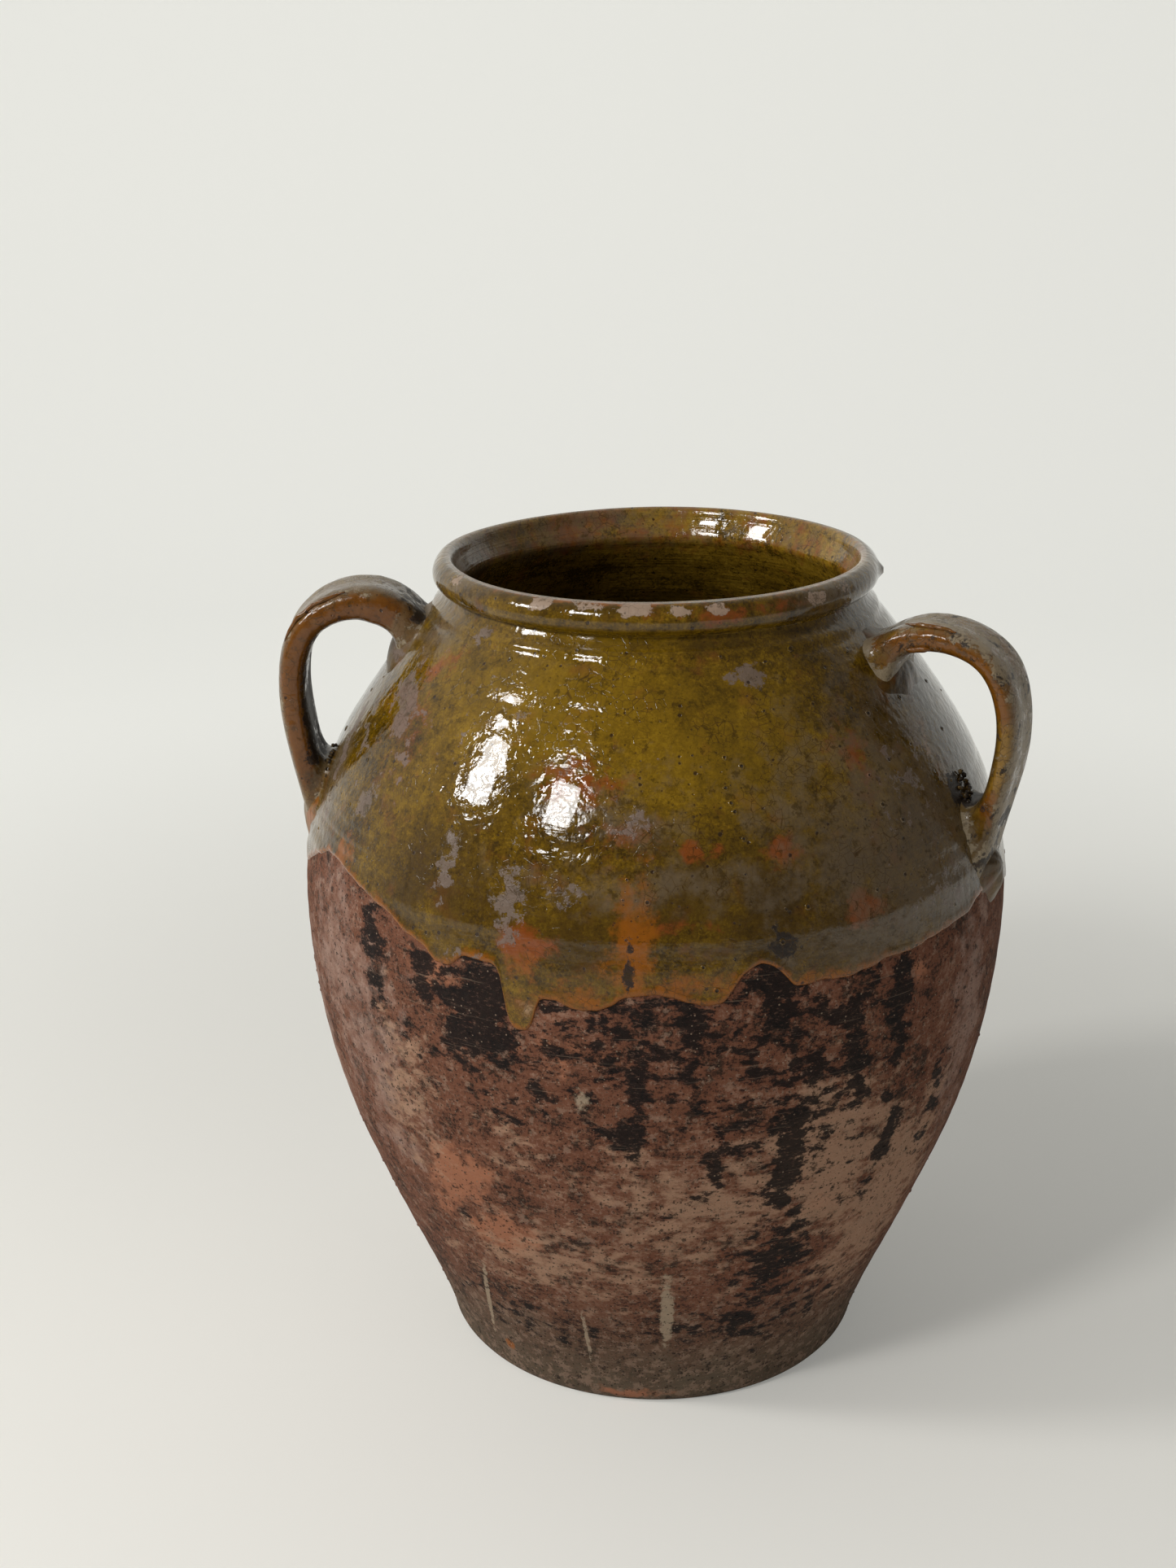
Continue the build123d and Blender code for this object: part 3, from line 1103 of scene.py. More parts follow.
class GeometryTree(Sheet):
    """A geometry tree with named inputs, run once on a piece and then removed."""

    def __init__(self, name: str, inputs: dict[str, str]) -> None:
        """Start a tree.

        Args:
            name: Name of the tree.
            inputs: Kind of each named input.
        """
        super().__init__(bpy.data.node_groups.new(name, "GeometryNodeTree"))
        face = self.tree.interface
        face.new_socket(name="Geometry", in_out="INPUT", socket_type="NodeSocketGeometry")
        for socket, kind in inputs.items():
            face.new_socket(name=socket, in_out="INPUT", socket_type=f"NodeSocket{kind}")
        face.new_socket(name="Geometry", in_out="OUTPUT", socket_type="NodeSocketGeometry")
        self.given = self.node("NodeGroupInput").outputs
        self.result = self.node("NodeGroupOutput").inputs[0]

    def close(self, geometry: object) -> None:
        """End the tree in Realize Instances and Set Material.

        Args:
            geometry: Output that the tree ends with.
        """
        real = self.node("GeometryNodeRealizeInstances", {0: geometry}).outputs[0]
        ways = {"Geometry": real, "Material": self.given["Material"]}
        self.put(self.result, self.node("GeometryNodeSetMaterial", ways).outputs[0])

    def attribute(self, name: str) -> object:
        """A number stored on the mesh."""
        made = self.node("GeometryNodeInputNamedAttribute", {"Name": name}, data_type="FLOAT")
        return made.outputs["Attribute"]

    def run(self, piece: bpy.types.Object, name: str, **values: object) -> bpy.types.Object:
        """Run the tree on a piece.

        Args:
            piece: Mesh object that goes in.
            name: Name of the piece that comes out.
            values: The tree's inputs, with spaces in their names written as underscores.

        Returns:
            A new piece with a plain mesh.
        """
        modifier = piece.modifiers.new(self.tree.name, "NODES")
        modifier.node_group = self.tree
        for item in self.tree.interface.items_tree:
            key = item.name.replace(" ", "_").lower()
            if item.in_out == "INPUT" and key in values:
                modifier[item.identifier] = values[key]
        graph = bpy.context.evaluated_depsgraph_get()
        mesh = bpy.data.meshes.new_from_object(piece.evaluated_get(graph), depsgraph=graph)
        piece.modifiers.remove(modifier)
        mesh.name = name
        made = bpy.data.objects.new(name, mesh)
        bpy.context.scene.collection.objects.link(made)
        return made


def throwing_tree() -> GeometryTree:
    """Tree that gives a turned wall its throwing rings and lumps, by how much each vertex yields.

    Returns:
        The tree.
    """
    kinds = {
        "Ring Pitch": "Float", "Ring Depth": "Float", "Lump Size": "Float", "Lump Height": "Float",
        "Measure Radius": "Float", "Seed": "Float", "Material": "Material",
    }
    tree = GeometryTree("throwing rings", kinds)
    given = tree.given
    place = tree.node("GeometryNodeInputPosition").outputs[0]
    outwards = tree.vector("NORMALIZE", tree.vector("MULTIPLY", place, (1, 1, 0)))
    parts = tree.parts(place)
    height = parts[2]
    upright = tree.vector("MULTIPLY", place, (0, 0, 1))
    drum = tree.vector("ADD", tree.scaled(outwards, given["Measure Radius"]), upright)

    def noise(source: object, size: object, detail: float) -> object:
        """Noise around zero.

        Args:
            source: Where it is read.
            size: Size of its lumps, in metres.
            detail: How many finer sizes it has.

        Returns:
            The output.
        """
        scale = tree.math("DIVIDE", 1.0, size)
        ways = {"Vector": source, "W": given["Seed"], "Scale": scale, "Detail": detail}
        made = tree.node("ShaderNodeTexNoise", ways, noise_dimensions="4D")
        return tree.math("SUBTRACT", made.outputs[0], 0.5)

    turn = tree.math("ARCTAN2", parts[1], parts[0])
    flat_drum = tree.vector("MULTIPLY", drum, (0.15, 0.15, 1))
    wander = noise(flat_drum, tree.math("MULTIPLY", given["Ring Pitch"], 4.0), 2)
    climb = tree.math("DIVIDE", height, given["Ring Pitch"])
    phase = tree.math("ADD", tree.math("MULTIPLY", climb, math.tau), turn)
    phase = tree.math("ADD", phase, tree.math("MULTIPLY", wander, 16.0))
    ring = tree.math("SINE", phase)
    fade = tree.math("ADD", noise(drum, tree.math("MULTIPLY", given["Ring Pitch"], 5.0), 2), 0.62)
    ring = tree.math("MULTIPLY", tree.math("MULTIPLY", ring, fade), given["Ring Depth"])
    lump = tree.math("MULTIPLY", noise(drum, given["Lump Size"], 3), given["Lump Height"])
    shift = tree.math("MULTIPLY", tree.math("ADD", ring, lump), tree.attribute("yield"))
    ways = {"Geometry": given["Geometry"], "Offset": tree.scaled(outwards, shift)}
    tree.close(tree.node("GeometryNodeSetPosition", ways).outputs[0])
    return tree


def scatter_tree(name: str) -> GeometryTree:
    """Tree that strews copies of a small form over a piece, where its "strew" value allows.

    Args:
        name: Name of the tree.

    Returns:
        The tree.
    """
    kinds = {
        "Form": "Object", "Density": "Float", "Smallest": "Float", "Largest": "Float",
        "Seed": "Int", "Material": "Material",
    }
    tree = GeometryTree(name, kinds)
    given = tree.given
    density = tree.times(given["Density"], tree.attribute("strew"))
    ways = {"Mesh": given["Geometry"], "Density": density, "Seed": given["Seed"]}
    spots = tree.node("GeometryNodeDistributePointsOnFaces", ways).outputs
    form = tree.node("GeometryNodeObjectInfo", {"Object": given["Form"]}).outputs["Geometry"]
    sizes = {2: given["Smallest"], 3: given["Largest"], "Seed": given["Seed"]}
    size = tree.node("FunctionNodeRandomValue", sizes, data_type="FLOAT").outputs[1]
    ways = {"Points": spots["Points"], "Instance": form, "Rotation": spots["Rotation"], "Scale": size}
    tree.close(tree.node("GeometryNodeInstanceOnPoints", ways).outputs[0])
    return tree


# The jar's sub-assemblies


@dataclass
class Workshop:
    """What every sub-assembly works with."""

    section: Section
    view: Viewpoint
    run: RunLine
    painter: Painter
    rings: GeometryTree
    clay: bpy.types.Material
    olive: bpy.types.Material
    inner: bpy.types.Material
    handle: bpy.types.Material
    pad: bpy.types.Material
    ring_pitch: float = 9.5
    ring_depth: float = 0.07
    lump_size: float = 55.0
    lump_height: float = 0.7
    measure_radius: float = 120.0
    sharp_angle: float = 50.0
    seed: float = 3.0

    def throw(self, blank: bpy.types.Object, material: bpy.types.Material) -> bpy.types.Object:
        """Give a turned blank its rings and lumps, and drop the blank.

        Args:
            blank: Turned mesh with a "yield" value at each vertex.
            material: Its finish.

        Returns:
            The piece, under the blank's name.
        """
        name = blank.name
        blank.name = "blank"
        made = self.rings.run(
            blank, name, ring_pitch=self.ring_pitch * MM, ring_depth=self.ring_depth * MM,
            lump_size=self.lump_size * MM, lump_height=self.lump_height * MM,
            measure_radius=self.measure_radius * MM, seed=self.seed, material=material,
        )
        bpy.data.objects.remove(blank)
        made.data.shade_smooth()
        made.data.set_sharp_from_angle(angle=math.radians(self.sharp_angle))
        return made


def hand_in(
    piece: bpy.types.Object, stands_for: tuple[str, ...], material: bpy.types.Material
) -> None:
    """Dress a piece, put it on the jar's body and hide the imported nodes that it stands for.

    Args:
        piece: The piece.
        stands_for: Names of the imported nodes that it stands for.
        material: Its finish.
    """
    if not piece.data.materials:
        piece.data.materials.append(material)
    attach(piece, BODY)
    if stands_for:
        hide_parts(*stands_for)
    triangles = sum(len(face.vertices) - 2 for face in piece.data.polygons)
    LOG.info("%s: %d triangles", piece.name, triangles)


@dataclass
class ThrownBody:
    """The bare clay wall: bowl, shoulder and rim."""

    columns: int = 560
    row_step: float = 1.6
    belly_height: float = 190.0
    neck_height: float = 307.0
    sink: float = 0.45
    deep_sink: float = 1.6
    deep_from: float = 222.0
    coarse_from: float = 225.0
    coarse_step: float = 4.0
    foot_rings: tuple[float, ...] = (20.0, 45.0, 66.0, 78.0)
    foot_round: float = 0.4
    marks: list[Mark] = field(default_factory=list)

    def outer_rows(self, section: Section, low: float, high: float, step: float) -> np.ndarray:
        """Lengths along the outline from one height to another."""
        start, end = float(section.length_at(low)), float(section.length_at(high))
        return np.linspace(start, end, max(int((end - start) / step), 2) + 1)

    def blank(
        self, name: str, section: Section, rows: np.ndarray, inner: np.ndarray, capped: bool
    ) -> bpy.types.Object:
        """Closed blank from outer and inner rows of the outline.

        Args:
            name: Name of the piece.
            section: The jar's section.
            rows: Places along the outline on the outside, upwards.
            inner: Places along it on the inside, downwards.
            capped: Whether the foot and the floor close it. Otherwise it is a ring.

        Returns:
            The blank, with its "yield" values.
        """
        level = np.interp(rows, section.length, section.height)
        sink = self.sink + (self.deep_sink - self.sink) * smooth_step((level - self.deep_from) / 6)
        radius, height = section.at(rows, -sink)
        inner_radius, inner_height = section.at(inner, -self.sink)
        gives = np.ones(len(rows))
        if capped:
            foot = np.array([*self.foot_rings, float(radius[0]) - self.foot_round])
            radius = np.concatenate([foot, radius])
            height = np.concatenate([np.zeros(len(foot)), height])
            gives = np.concatenate([np.zeros(len(foot)), smooth_step((rows - 0.5) / 6)])
            height[len(foot)] = self.foot_round
        radius = np.concatenate([radius, inner_radius])
        height = np.concatenate([height, inner_height])
        gives = np.concatenate([gives, np.zeros(len(inner))])
        wide = np.repeat(radius[:, None], self.columns, axis=1)
        tall = np.repeat(height[:, None], self.columns, axis=1)
        piece = lathe(name, wide, tall, capped)
        yields = np.zeros(len(piece.data.vertices))
        yields[: len(wide) * self.columns] = np.repeat(gives, self.columns)
        store(piece, "yield", yields)
        return piece

    def build(self, shop: Workshop) -> bpy.types.Object:
        """Make the three walls and return the bowl, which carries the grit.

        Args:
            shop: The workshop.

        Returns:
            The bowl.
        """
        section = shop.section
        belly_in = float(section.length_at(self.belly_height, inside=True))
        neck_in = float(section.length_at(self.neck_height, inside=True))
        floor_in = section.end - 3
        bowl_rows = self.outer_rows(section, 0.3, self.belly_height, self.row_step)
        bowl = self.blank("thrown_bowl", section, bowl_rows, np.linspace(belly_in, floor_in, 16), True)
        shoulder_rows = np.concatenate([
            self.outer_rows(section, self.belly_height, self.deep_from, self.row_step),
            self.outer_rows(section, self.coarse_from, self.neck_height, self.coarse_step),
        ])
        shoulder_in = np.linspace(neck_in, belly_in, 12)
        shoulder = self.blank("thrown_shoulder", section, shoulder_rows, shoulder_in, False)
        rim_rows = np.linspace(float(section.length_at(self.neck_height)), section.crest, 12)
        rim = self.blank("rolled_rim", section, rim_rows, np.linspace(section.crest + 1, neck_in, 10), False)
        made = []
        for blank, node in ((bowl, "lower_wall"), (shoulder, "upper_wall"), (rim, "rim_collar")):
            piece = shop.throw(blank, shop.clay)
            shop.painter.paint(piece, self.marks)
            hand_in(piece, (node,), shop.clay)
            made.append(piece)
        return made[0]


@dataclass
class GlazeCoat:
    """The olive glaze on the upper half of the outside, and the glaze inside."""

    columns: int = 720
    inside_columns: int = 540
    fixed_from: float = 228.0
    low_rows: int = 30
    high_step: float = 1.6
    thickness: float = 0.45
    bead: float = 0.26
    lap: float = 1.6
    # Height, depth and spread of the lines that the potter's tool left
    tool_lines: tuple[tuple[float, float, float], ...] = (
        (298.0, -0.5, 1.1), (300.6, 0.4, 1.2), (303.2, -0.3, 1.2), (283.0, -0.2, 1.3), (243.0, -0.2, 1.2),
        (231.0, -0.3, 1.1), (226.0, -0.25, 1.0), (216.0, 0.3, 2.4),
    )
    drum_radius: float = 120.0
    # Azimuth, height and size of a lump of glaze on the rim
    knob: tuple[float, float, float] = (-3.0, 312.5, 1.9)
    marks: list[Mark] = field(default_factory=list)

    def rows(self, section: Section, edge: np.ndarray) -> np.ndarray:
        """Places along the outline, close together near the run line and even higher up.

        Args:
            section: The jar's section.
            edge: Where the run line lies in each column.

        Returns:
            The places, rows by columns.
        """
        fixed = float(section.length_at(self.fixed_from))
        share = np.linspace(0, 1, self.low_rows) ** 1.6
        low = edge[None, :] + (fixed - edge)[None, :] * share[:, None]
        top = section.crest + self.lap
        count = int((top - fixed) / self.high_step)
        high = np.repeat(np.linspace(fixed, top, count + 1)[1:, None], self.columns, axis=1)
        return np.concatenate([low, high])

    def skin(self, section: Section, rows: np.ndarray, past: np.ndarray, azimuth: np.ndarray) -> np.ndarray:
        """How far the glaze's skin stands out of the clay.

        Args:
            section: The jar's section.
            rows: Places along the outline.
            past: How far above the run line each place is.
            azimuth: Direction of each column, in degrees.

        Returns:
            Distances, laid out as the rows are.
        """
        turn = np.radians(azimuth)
        x, y = (np.broadcast_to(self.drum_radius * wave, rows.shape) for wave in (np.cos(turn), np.sin(turn)))
        drum = np.stack([x, y, rows], axis=-1).reshape(-1, 3)
        swell = 1 + 0.5 * rough_noise(drum, 16, 9).reshape(rows.shape)
        rise = np.sqrt(np.clip(1 - (1 - np.clip(past / 1.5, 0, 1)) ** 2, 0, 1))
        lip = self.bead * swell * np.exp(-((past - 1.4) / 1.9) ** 2)
        out = -self.sink(past) + (self.thickness + lip) * rise
        level = np.interp(rows, section.length, section.height)
        for height, depth, spread in self.tool_lines:
            out = out + depth * np.exp(-(((level - height) / spread) ** 2)) * (rows < section.crest - 8)
        knock = azimuth[None, :] - self.knob[0]
        out = out + self.knob[2] * np.exp(-((knock / 2.6) ** 2) - (((level - self.knob[1]) / 2.2) ** 2))
        return out - np.clip((rows - section.crest) / self.lap, 0, 1) * 0.35

    def build(self, shop: Workshop) -> bpy.types.Object:
        """Make the coat and the lining and return the coat, which carries the blisters.

        Args:
            shop: The workshop.

        Returns:
            The coat.
        """
        section = shop.section
        azimuth = np.linspace(-180, 180, self.columns, endpoint=False)
        edge = section.length_at(shop.run.height(azimuth))
        rows = self.rows(section, edge)
        past = rows - edge[None, :]
        radius, height = section.at(rows, self.skin(section, rows, past, azimuth))
        under = rows[::-3]
        under_level = np.interp(under, section.length, section.height)
        under_radius, under_height = section.at(under, -1.9 - 0.9 * smooth_step((under_level - 284) / 6))
        wide = np.concatenate([radius, under_radius])
        tall = np.concatenate([height, under_height])
        blank = lathe("olive_coat", wide, tall, False)
        store(blank, "yield", np.ones(len(blank.data.vertices)))
        coat = shop.throw(blank, shop.olive)
        amber = np.concatenate([np.exp(-np.abs(past) / 3.2), np.ones_like(under)]).ravel()
        write_layer(coat, Layer.AMBER, amber * 0.95)
        shop.painter.paint(coat, self.marks)
        hand_in(coat, ("outer_glaze_coat",), shop.olive)
        self.line_inside(shop)
        return coat

    def sink(self, past: np.ndarray) -> np.ndarray:
        """How deep the very edge sits in the clay."""
        return 0.45 + 0.35 * np.exp(-np.maximum(past, 0) / 0.5)

    def line_inside(self, shop: Workshop) -> None:
        """Make the glaze on the inside, from the crest of the rim to the middle of the floor.

        Args:
            shop: The workshop.
        """
        section = shop.section
        near = np.arange(section.crest - 0.6, section.crest + 110, 1.3)
        deep = np.linspace(section.crest + 112, section.end - 2, 34)
        rows = np.concatenate([near, deep])
        out = np.full(len(rows), self.thickness)
        out[0] = -0.2
        out[1] = self.thickness - 0.12
        radius, height = section.at(rows, out)
        radius = np.concatenate([[1.0], radius[::-1]])
        height = np.concatenate([[height[-1]], height[::-1]])
        under = np.linspace(section.crest, section.end - 2, 24)
        under_radius, under_height = section.at(under, -0.3)
        radius = np.concatenate([under_radius, radius[1:]])[::-1]
        height = np.concatenate([under_height, height[1:]])[::-1]
        wide = np.repeat(radius[:, None], self.inside_columns, axis=1)
        tall = np.repeat(height[:, None], self.inside_columns, axis=1)
        blank = lathe("inner_lining", wide, tall, False)
        store(blank, "yield", np.ones(len(blank.data.vertices)))
        lining = shop.throw(blank, shop.inner)
        places = vertex_places(lining)
        azimuth = np.arctan2(places[:, 1], places[:, 0])
        patchy = rough_noise(places, 12, 61, 4)
        # The deep layer rises with depth below 281 mm: painted shade down inside the jar, with a patchy edge.
        write_layer(lining, Layer.DEEP, np.clip(0.5 + (281 - places[:, 2]) / 30 + patchy * 0.4, 0, 1))
        high = smooth_step((places[:, 2] - 296) / 12)
        left = 0.5 - 0.5 * np.cos(azimuth - math.radians(15))
        write_layer(lining, Layer.HAZE, np.clip(high * (0.25 + 0.55 * left) + patchy * 0.2, 0, 0.9))
        write_layer(lining, Layer.BLUSH, np.clip(high * 0.42 + patchy * 0.25, 0, 0.8))
        hand_in(lining, ("inner_glaze_lining",), shop.inner)


@dataclass(frozen=True)
class RootPrint:
    """Where a strap's root spreads on the wall."""

    height: float
    half_width: float
    half_length: float
    rings: int = 16
    reach_in: float = 9.0
    reach_out: float = 12.0


@dataclass(frozen=True)
class PadForm:
    """A smeared pad of clay on the wall."""

    height: float
    half_width: float
    half_length: float
    proud: float
    shift: float = 0.0


@dataclass
class StrapHandle:
    """A pulled strap with its two roots and the pads that hold them."""

    side: str
    azimuth: float
    width: float
    thickness: float
    upper_root_height: float
    crown_height: float
    lower_root_height: float
    stand_out: float
    upper_print: RootPrint
    lower_print: RootPrint
    upper_pad: PadForm
    lower_pad: PadForm
    free_from: float = 0.17
    free_to: float = 0.69
    around: int = 72
    along: int = 96
    squareness: float = 3.2
    print_squareness: float = 3.2
    dish: float = 0.6
    lumps: float = 0.8
    # Where the thumb print lies on the lower pad: how far to the side and how far down
    thumb: tuple[float, float] | None = None
    thumb_size: tuple[float, float] = (6.5, 12.5)
    thumb_depth: float = 2.4
    thumb_curl: float = 0.9
    # Start and end of each ridge of glaze, as shares of the strap's length, and its corner's angle
    ridges: tuple[tuple[float, float, float], ...] = ()
    marks: list[Mark] = field(default_factory=list)
    # How far out and how far down the strap bends, as shares of its reach and its fall
    bends: tuple[tuple[float, float], ...] = ((0.46, 0.0), (0.845, 0.085), (1.0, 0.29), (0.93, 0.63))
    # Thickness at shares of the strap's length, as shares of its own
    swelling: tuple[tuple[float, float], ...] = (
        (0.0, 1.85), (0.10, 1.58), (0.21, 1.24), (0.34, 1.03), (0.54, 1.0), (0.72, 0.98), (0.86, 1.0),
        (1.0, 1.0),
    )

    def path(self, section: Section) -> np.ndarray:
        """Centre line of the strap in the plane of radius and height.

        Args:
            section: The jar's section.

        Returns:
            Radii and heights, a pair to a row.
        """
        root = float(section.radius_at(self.upper_root_height))
        low = float(section.radius_at(self.lower_root_height))
        reach = low + self.stand_out - root
        fall = self.crown_height - self.lower_root_height
        points = [(root - 8.0, self.upper_root_height)]
        points += [(root + reach * out, self.crown_height - fall * down) for out, down in self.bends]
        points.append((low - 8.0, self.lower_root_height))
        return spline_through(points, 400)

    def ring(self, path: np.ndarray, share: float, turn: np.ndarray) -> tuple[np.ndarray, np.ndarray]:
        """One section of the strap.

        Args:
            path: Centre line.
            share: How far along it.
            turn: Angles round the section, 0 on the outer face.

        Returns:
            The places of the section, and the strap's direction there.
        """
        place = share * (len(path) - 1)
        i = int(np.clip(place, 1, len(path) - 2))
        centre = path[i] + (path[i + 1] - path[i]) * (place - i)
        ahead = path[i + 1] - path[i - 1]
        ahead /= np.hypot(*ahead)
        outwards = np.array([-ahead[1], ahead[0]])
        shares, thick = np.array(self.swelling).T
        half = self.thickness * np.interp(share, shares, thick) / 2 + 0.7
        wide = self.width / 2 + 0.7
        power = 2 / self.squareness
        rise = np.sign(np.cos(turn)) * np.abs(np.cos(turn)) ** power * half
        swing = np.sign(np.sin(turn)) * np.abs(np.sin(turn)) ** power * wide
        rise -= self.dish * np.exp(-((swing / wide) / 0.5) ** 2) * np.sign(rise)
        radius = centre[0] + outwards[0] * rise
        height = centre[1] + outwards[1] * rise
        facing = math.radians(self.azimuth)
        x = radius * math.cos(facing) - swing * math.sin(facing)
        y = radius * math.sin(facing) + swing * math.cos(facing)
        direction = np.array([ahead[0] * math.cos(facing), ahead[0] * math.sin(facing), ahead[1]])
        return np.stack([x, y, height], axis=-1), direction

    def root(
        self, section: Section, spread: RootPrint, turn: np.ndarray, upright: int, scale: float
    ) -> np.ndarray:
        """Outline of a root on the wall.

        Args:
            section: The jar's section.
            spread: The root's size and place.
            turn: Angles round it, as round the strap.
            upright: 1 where the strap's outer face goes upwards into the wall, -1 where it goes down.
            scale: Size about its middle.

        Returns:
            The places of the outline.
        """
        power = 2 / self.print_squareness
        across = np.sign(np.sin(turn)) * np.abs(np.sin(turn)) ** power * spread.half_width * scale
        up = np.sign(np.cos(turn)) * np.abs(np.cos(turn)) ** power * spread.half_length * scale * upright
        return section.on_wall(self.azimuth, spread.height, across, up, -1.6)

    def flare(
        self, section: Section, spread: RootPrint, ring: np.ndarray, ahead: np.ndarray, turn: np.ndarray,
        upright: int,
    ) -> list[np.ndarray]:
        """Sections that carry the strap's end smoothly out into the wall.

        Args:
            section: The jar's section.
            spread: The root's size and place.
            ring: Section of the strap where it stands free.
            ahead: The strap's direction there, towards the root.
            turn: Angles round the section.
            upright: 1 where the strap's outer face goes upwards into the wall, -1 where it goes down.

        Returns:
            The sections, from the wall on.
        """
        foot = self.root(section, spread, turn, upright, 1.0)
        inner = self.root(section, spread, turn, upright, 0.72)
        lean = inner - foot
        lean *= spread.reach_in / np.maximum(np.linalg.norm(lean, axis=1), 1e-6)[:, None]
        made = []
        for share in np.linspace(0, 1, spread.rings, endpoint=False):
            left = 1 - share
            made.append(
                left**3 * foot + 3 * left**2 * share * (foot + lean)
                + 3 * left * share**2 * (ring + ahead * spread.reach_out) + share**3 * ring
            )
        return made

    def build_strap(self, shop: Workshop) -> bpy.types.Object:
        """Make the strap's mesh.

        Args:
            shop: The workshop.

        Returns:
            The strap.
        """
        section = shop.section
        turn = np.linspace(0, math.tau, self.around, endpoint=False)
        path = self.path(section)
        first, ahead = self.ring(path, self.free_from, turn)
        rings = [self.root(section, self.upper_print, turn, 1, scale) for scale in (0.25, 0.7)]
        rings += self.flare(section, self.upper_print, first, -ahead, turn, 1)
        for share in np.linspace(self.free_from, self.free_to, self.along):
            rings.append(self.ring(path, share, turn)[0])
        last, onward = self.ring(path, self.free_to, turn)
        rings += self.flare(section, self.lower_print, last, onward, turn, -1)[:0:-1]
        rings += [self.root(section, self.lower_print, turn, -1, scale) for scale in (1.0, 0.7, 0.25)]
        grid = np.stack(rings)
        rows = len(grid)
        centres = grid.mean(axis=1, keepdims=True)
        flat = grid.reshape(-1, 3)
        dent = (0.5 + 0.5 * rough_noise(flat, 17, 21)) * self.lumps
        dent += (0.5 + 0.5 * rough_noise(flat * np.array([1, 1, 0.35]), 5, 24)) * self.lumps * 0.35
        inward = (centres - grid).reshape(-1, 3)
        inward /= np.maximum(np.linalg.norm(inward, axis=1), 1e-6)[:, None]
        flat = flat + inward * dent[:, None]
        flat = np.concatenate([flat, centres[0], centres[-1]])
        faces = ring_faces(rows, self.around, False, (rows * self.around, rows * self.around + 1))
        faces = [face[:, ::-1] for face in faces]
        piece = mesh_object(f"{self.side}_strap", flat, faces)
        recalculate(piece)
        self.paint_faces(piece, section)
        return piece

    def paint_faces(self, piece: bpy.types.Object, section: Section) -> None:
        """Colour the strap's outer, near and inner faces, and its roots, with painted shade on the faces
        towards the wall and a painted sheen on the outer and upper faces.

        Args:
            piece: The strap.
            section: The jar's section.
        """
        places = vertex_places(piece)
        normals = read_all(piece.data.vertices, "normal")
        facing = math.radians(self.azimuth)
        out = normals @ np.array([math.cos(facing), math.sin(facing), 0.0])
        near = -normals[:, 1]
        outer = np.maximum(out, normals[:, 2] * 0.9)
        off_wall = np.hypot(places[:, 0], places[:, 1]) - section.radius_at(places[:, 2])
        free = smooth_step(off_wall / 12)
        low = np.clip((262 - places[:, 2]) / 50, 0, 1)
        patchy = rough_noise(places, 8, 31, 4)
        crown = np.maximum(smooth_step((places[:, 2] - 262) / 16), np.exp(-(((places[:, 2] - 240) / 9) ** 2)))
        # The deep layer, and on the left strap the soot layer, rise on faces that turn towards the wall, as
        # painted shade between strap and wall; both also rise towards the lower root. The film and haze
        # layers rise on the outer and upper faces, partly a real film and partly a painted sheen.
        if self.side == "left":
            layers = {
                Layer.FILM: 0.20 + (outer - 0.45) * 0.4 + (1 - free) * 0.22,
                Layer.HAZE: 0.24 + (outer - 0.4) * 0.8 + (1 - free) * 0.35,
                Layer.AMBER: (0.5 + (near - 0.4) * 0.7) * (0.35 + 0.65 * free) - low * 0.12,
                Layer.DEEP: 0.46 + (-out - 0.3) * 0.8 + low * 0.5,
                Layer.SOOT: 0.27 + (-out - 0.2) * 0.4 + low * 0.24,
            }
        else:
            layers = {
                Layer.FILM: 0.36 + (outer - 0.45) * 0.45 + (1 - free) * 0.2,
                Layer.HAZE: 0.24 + (outer - 0.3) * 0.8 + (1 - free) * 0.3,
                Layer.GOLD: 0.62 + (near - 0.1) * 0.7,
                Layer.AMBER: (0.55 + (near - 0.35) * 0.7) * crown * (0.3 + 0.7 * free),
                Layer.DEEP: 0.32 + (-out - 0.3) * 0.9 + (1 - free) * low * 0.4,
                Layer.SOOT: 0.27 + (outer - 0.6) * 0.1 + (1 - free) * low * (near > -0.2) * 0.2,
            }
        for layer, value in layers.items():
            write_layer(piece, layer, np.clip(value + patchy * 0.38, 0, 0.95))

    def build_ridge(
        self, section: Section, name: str, begin: float, end: float, corner: float
    ) -> bpy.types.Object:
        """Make a lifted ridge of glaze along a corner of the strap.

        Args:
            section: The jar's section.
            name: Name of the piece.
            begin: Share of the strap's length where it starts.
            end: Share where it ends.
            corner: Angle of the corner in the strap's section.

        Returns:
            The ridge.
        """
        path = self.path(section)
        count, around = 46, 10
        turn = np.linspace(0, math.tau, around, endpoint=False)
        spots = []
        for share in np.linspace(begin, end, count):
            spots.append(self.ring(path, share, np.array([math.radians(corner)]))[0][0])
        spots = np.array(spots)
        spots += np.stack([soft_noise(spots, 4, seed) for seed in (51, 52, 53)], axis=-1) * 0.5
        ahead = np.gradient(spots, axis=0)
        ahead /= np.linalg.norm(ahead, axis=1)[:, None]
        beside = np.cross(ahead, np.array([0.0, 0.0, 1.0]))
        beside /= np.linalg.norm(beside, axis=1)[:, None]
        above = np.cross(beside, ahead)
        taper = np.sin(np.linspace(0.04, math.pi - 0.04, count)) ** 0.5
        thick = (1.0 + 0.55 * soft_noise(spots, 3, 54)) * taper * 1.05
        rings = spots[:, None, :] + thick[:, None, None] * (
            beside[:, None, :] * np.cos(turn)[None, :, None] + above[:, None, :] * np.sin(turn)[None, :, None]
        )
        places = np.concatenate([rings.reshape(-1, 3), spots[:1], spots[-1:]])
        faces = ring_faces(count, around, False, (count * around, count * around + 1))
        piece = mesh_object(name, places, faces)
        recalculate(piece)
        write_layer(piece, Layer.AMBER, np.full(len(places), 0.6))
        return piece

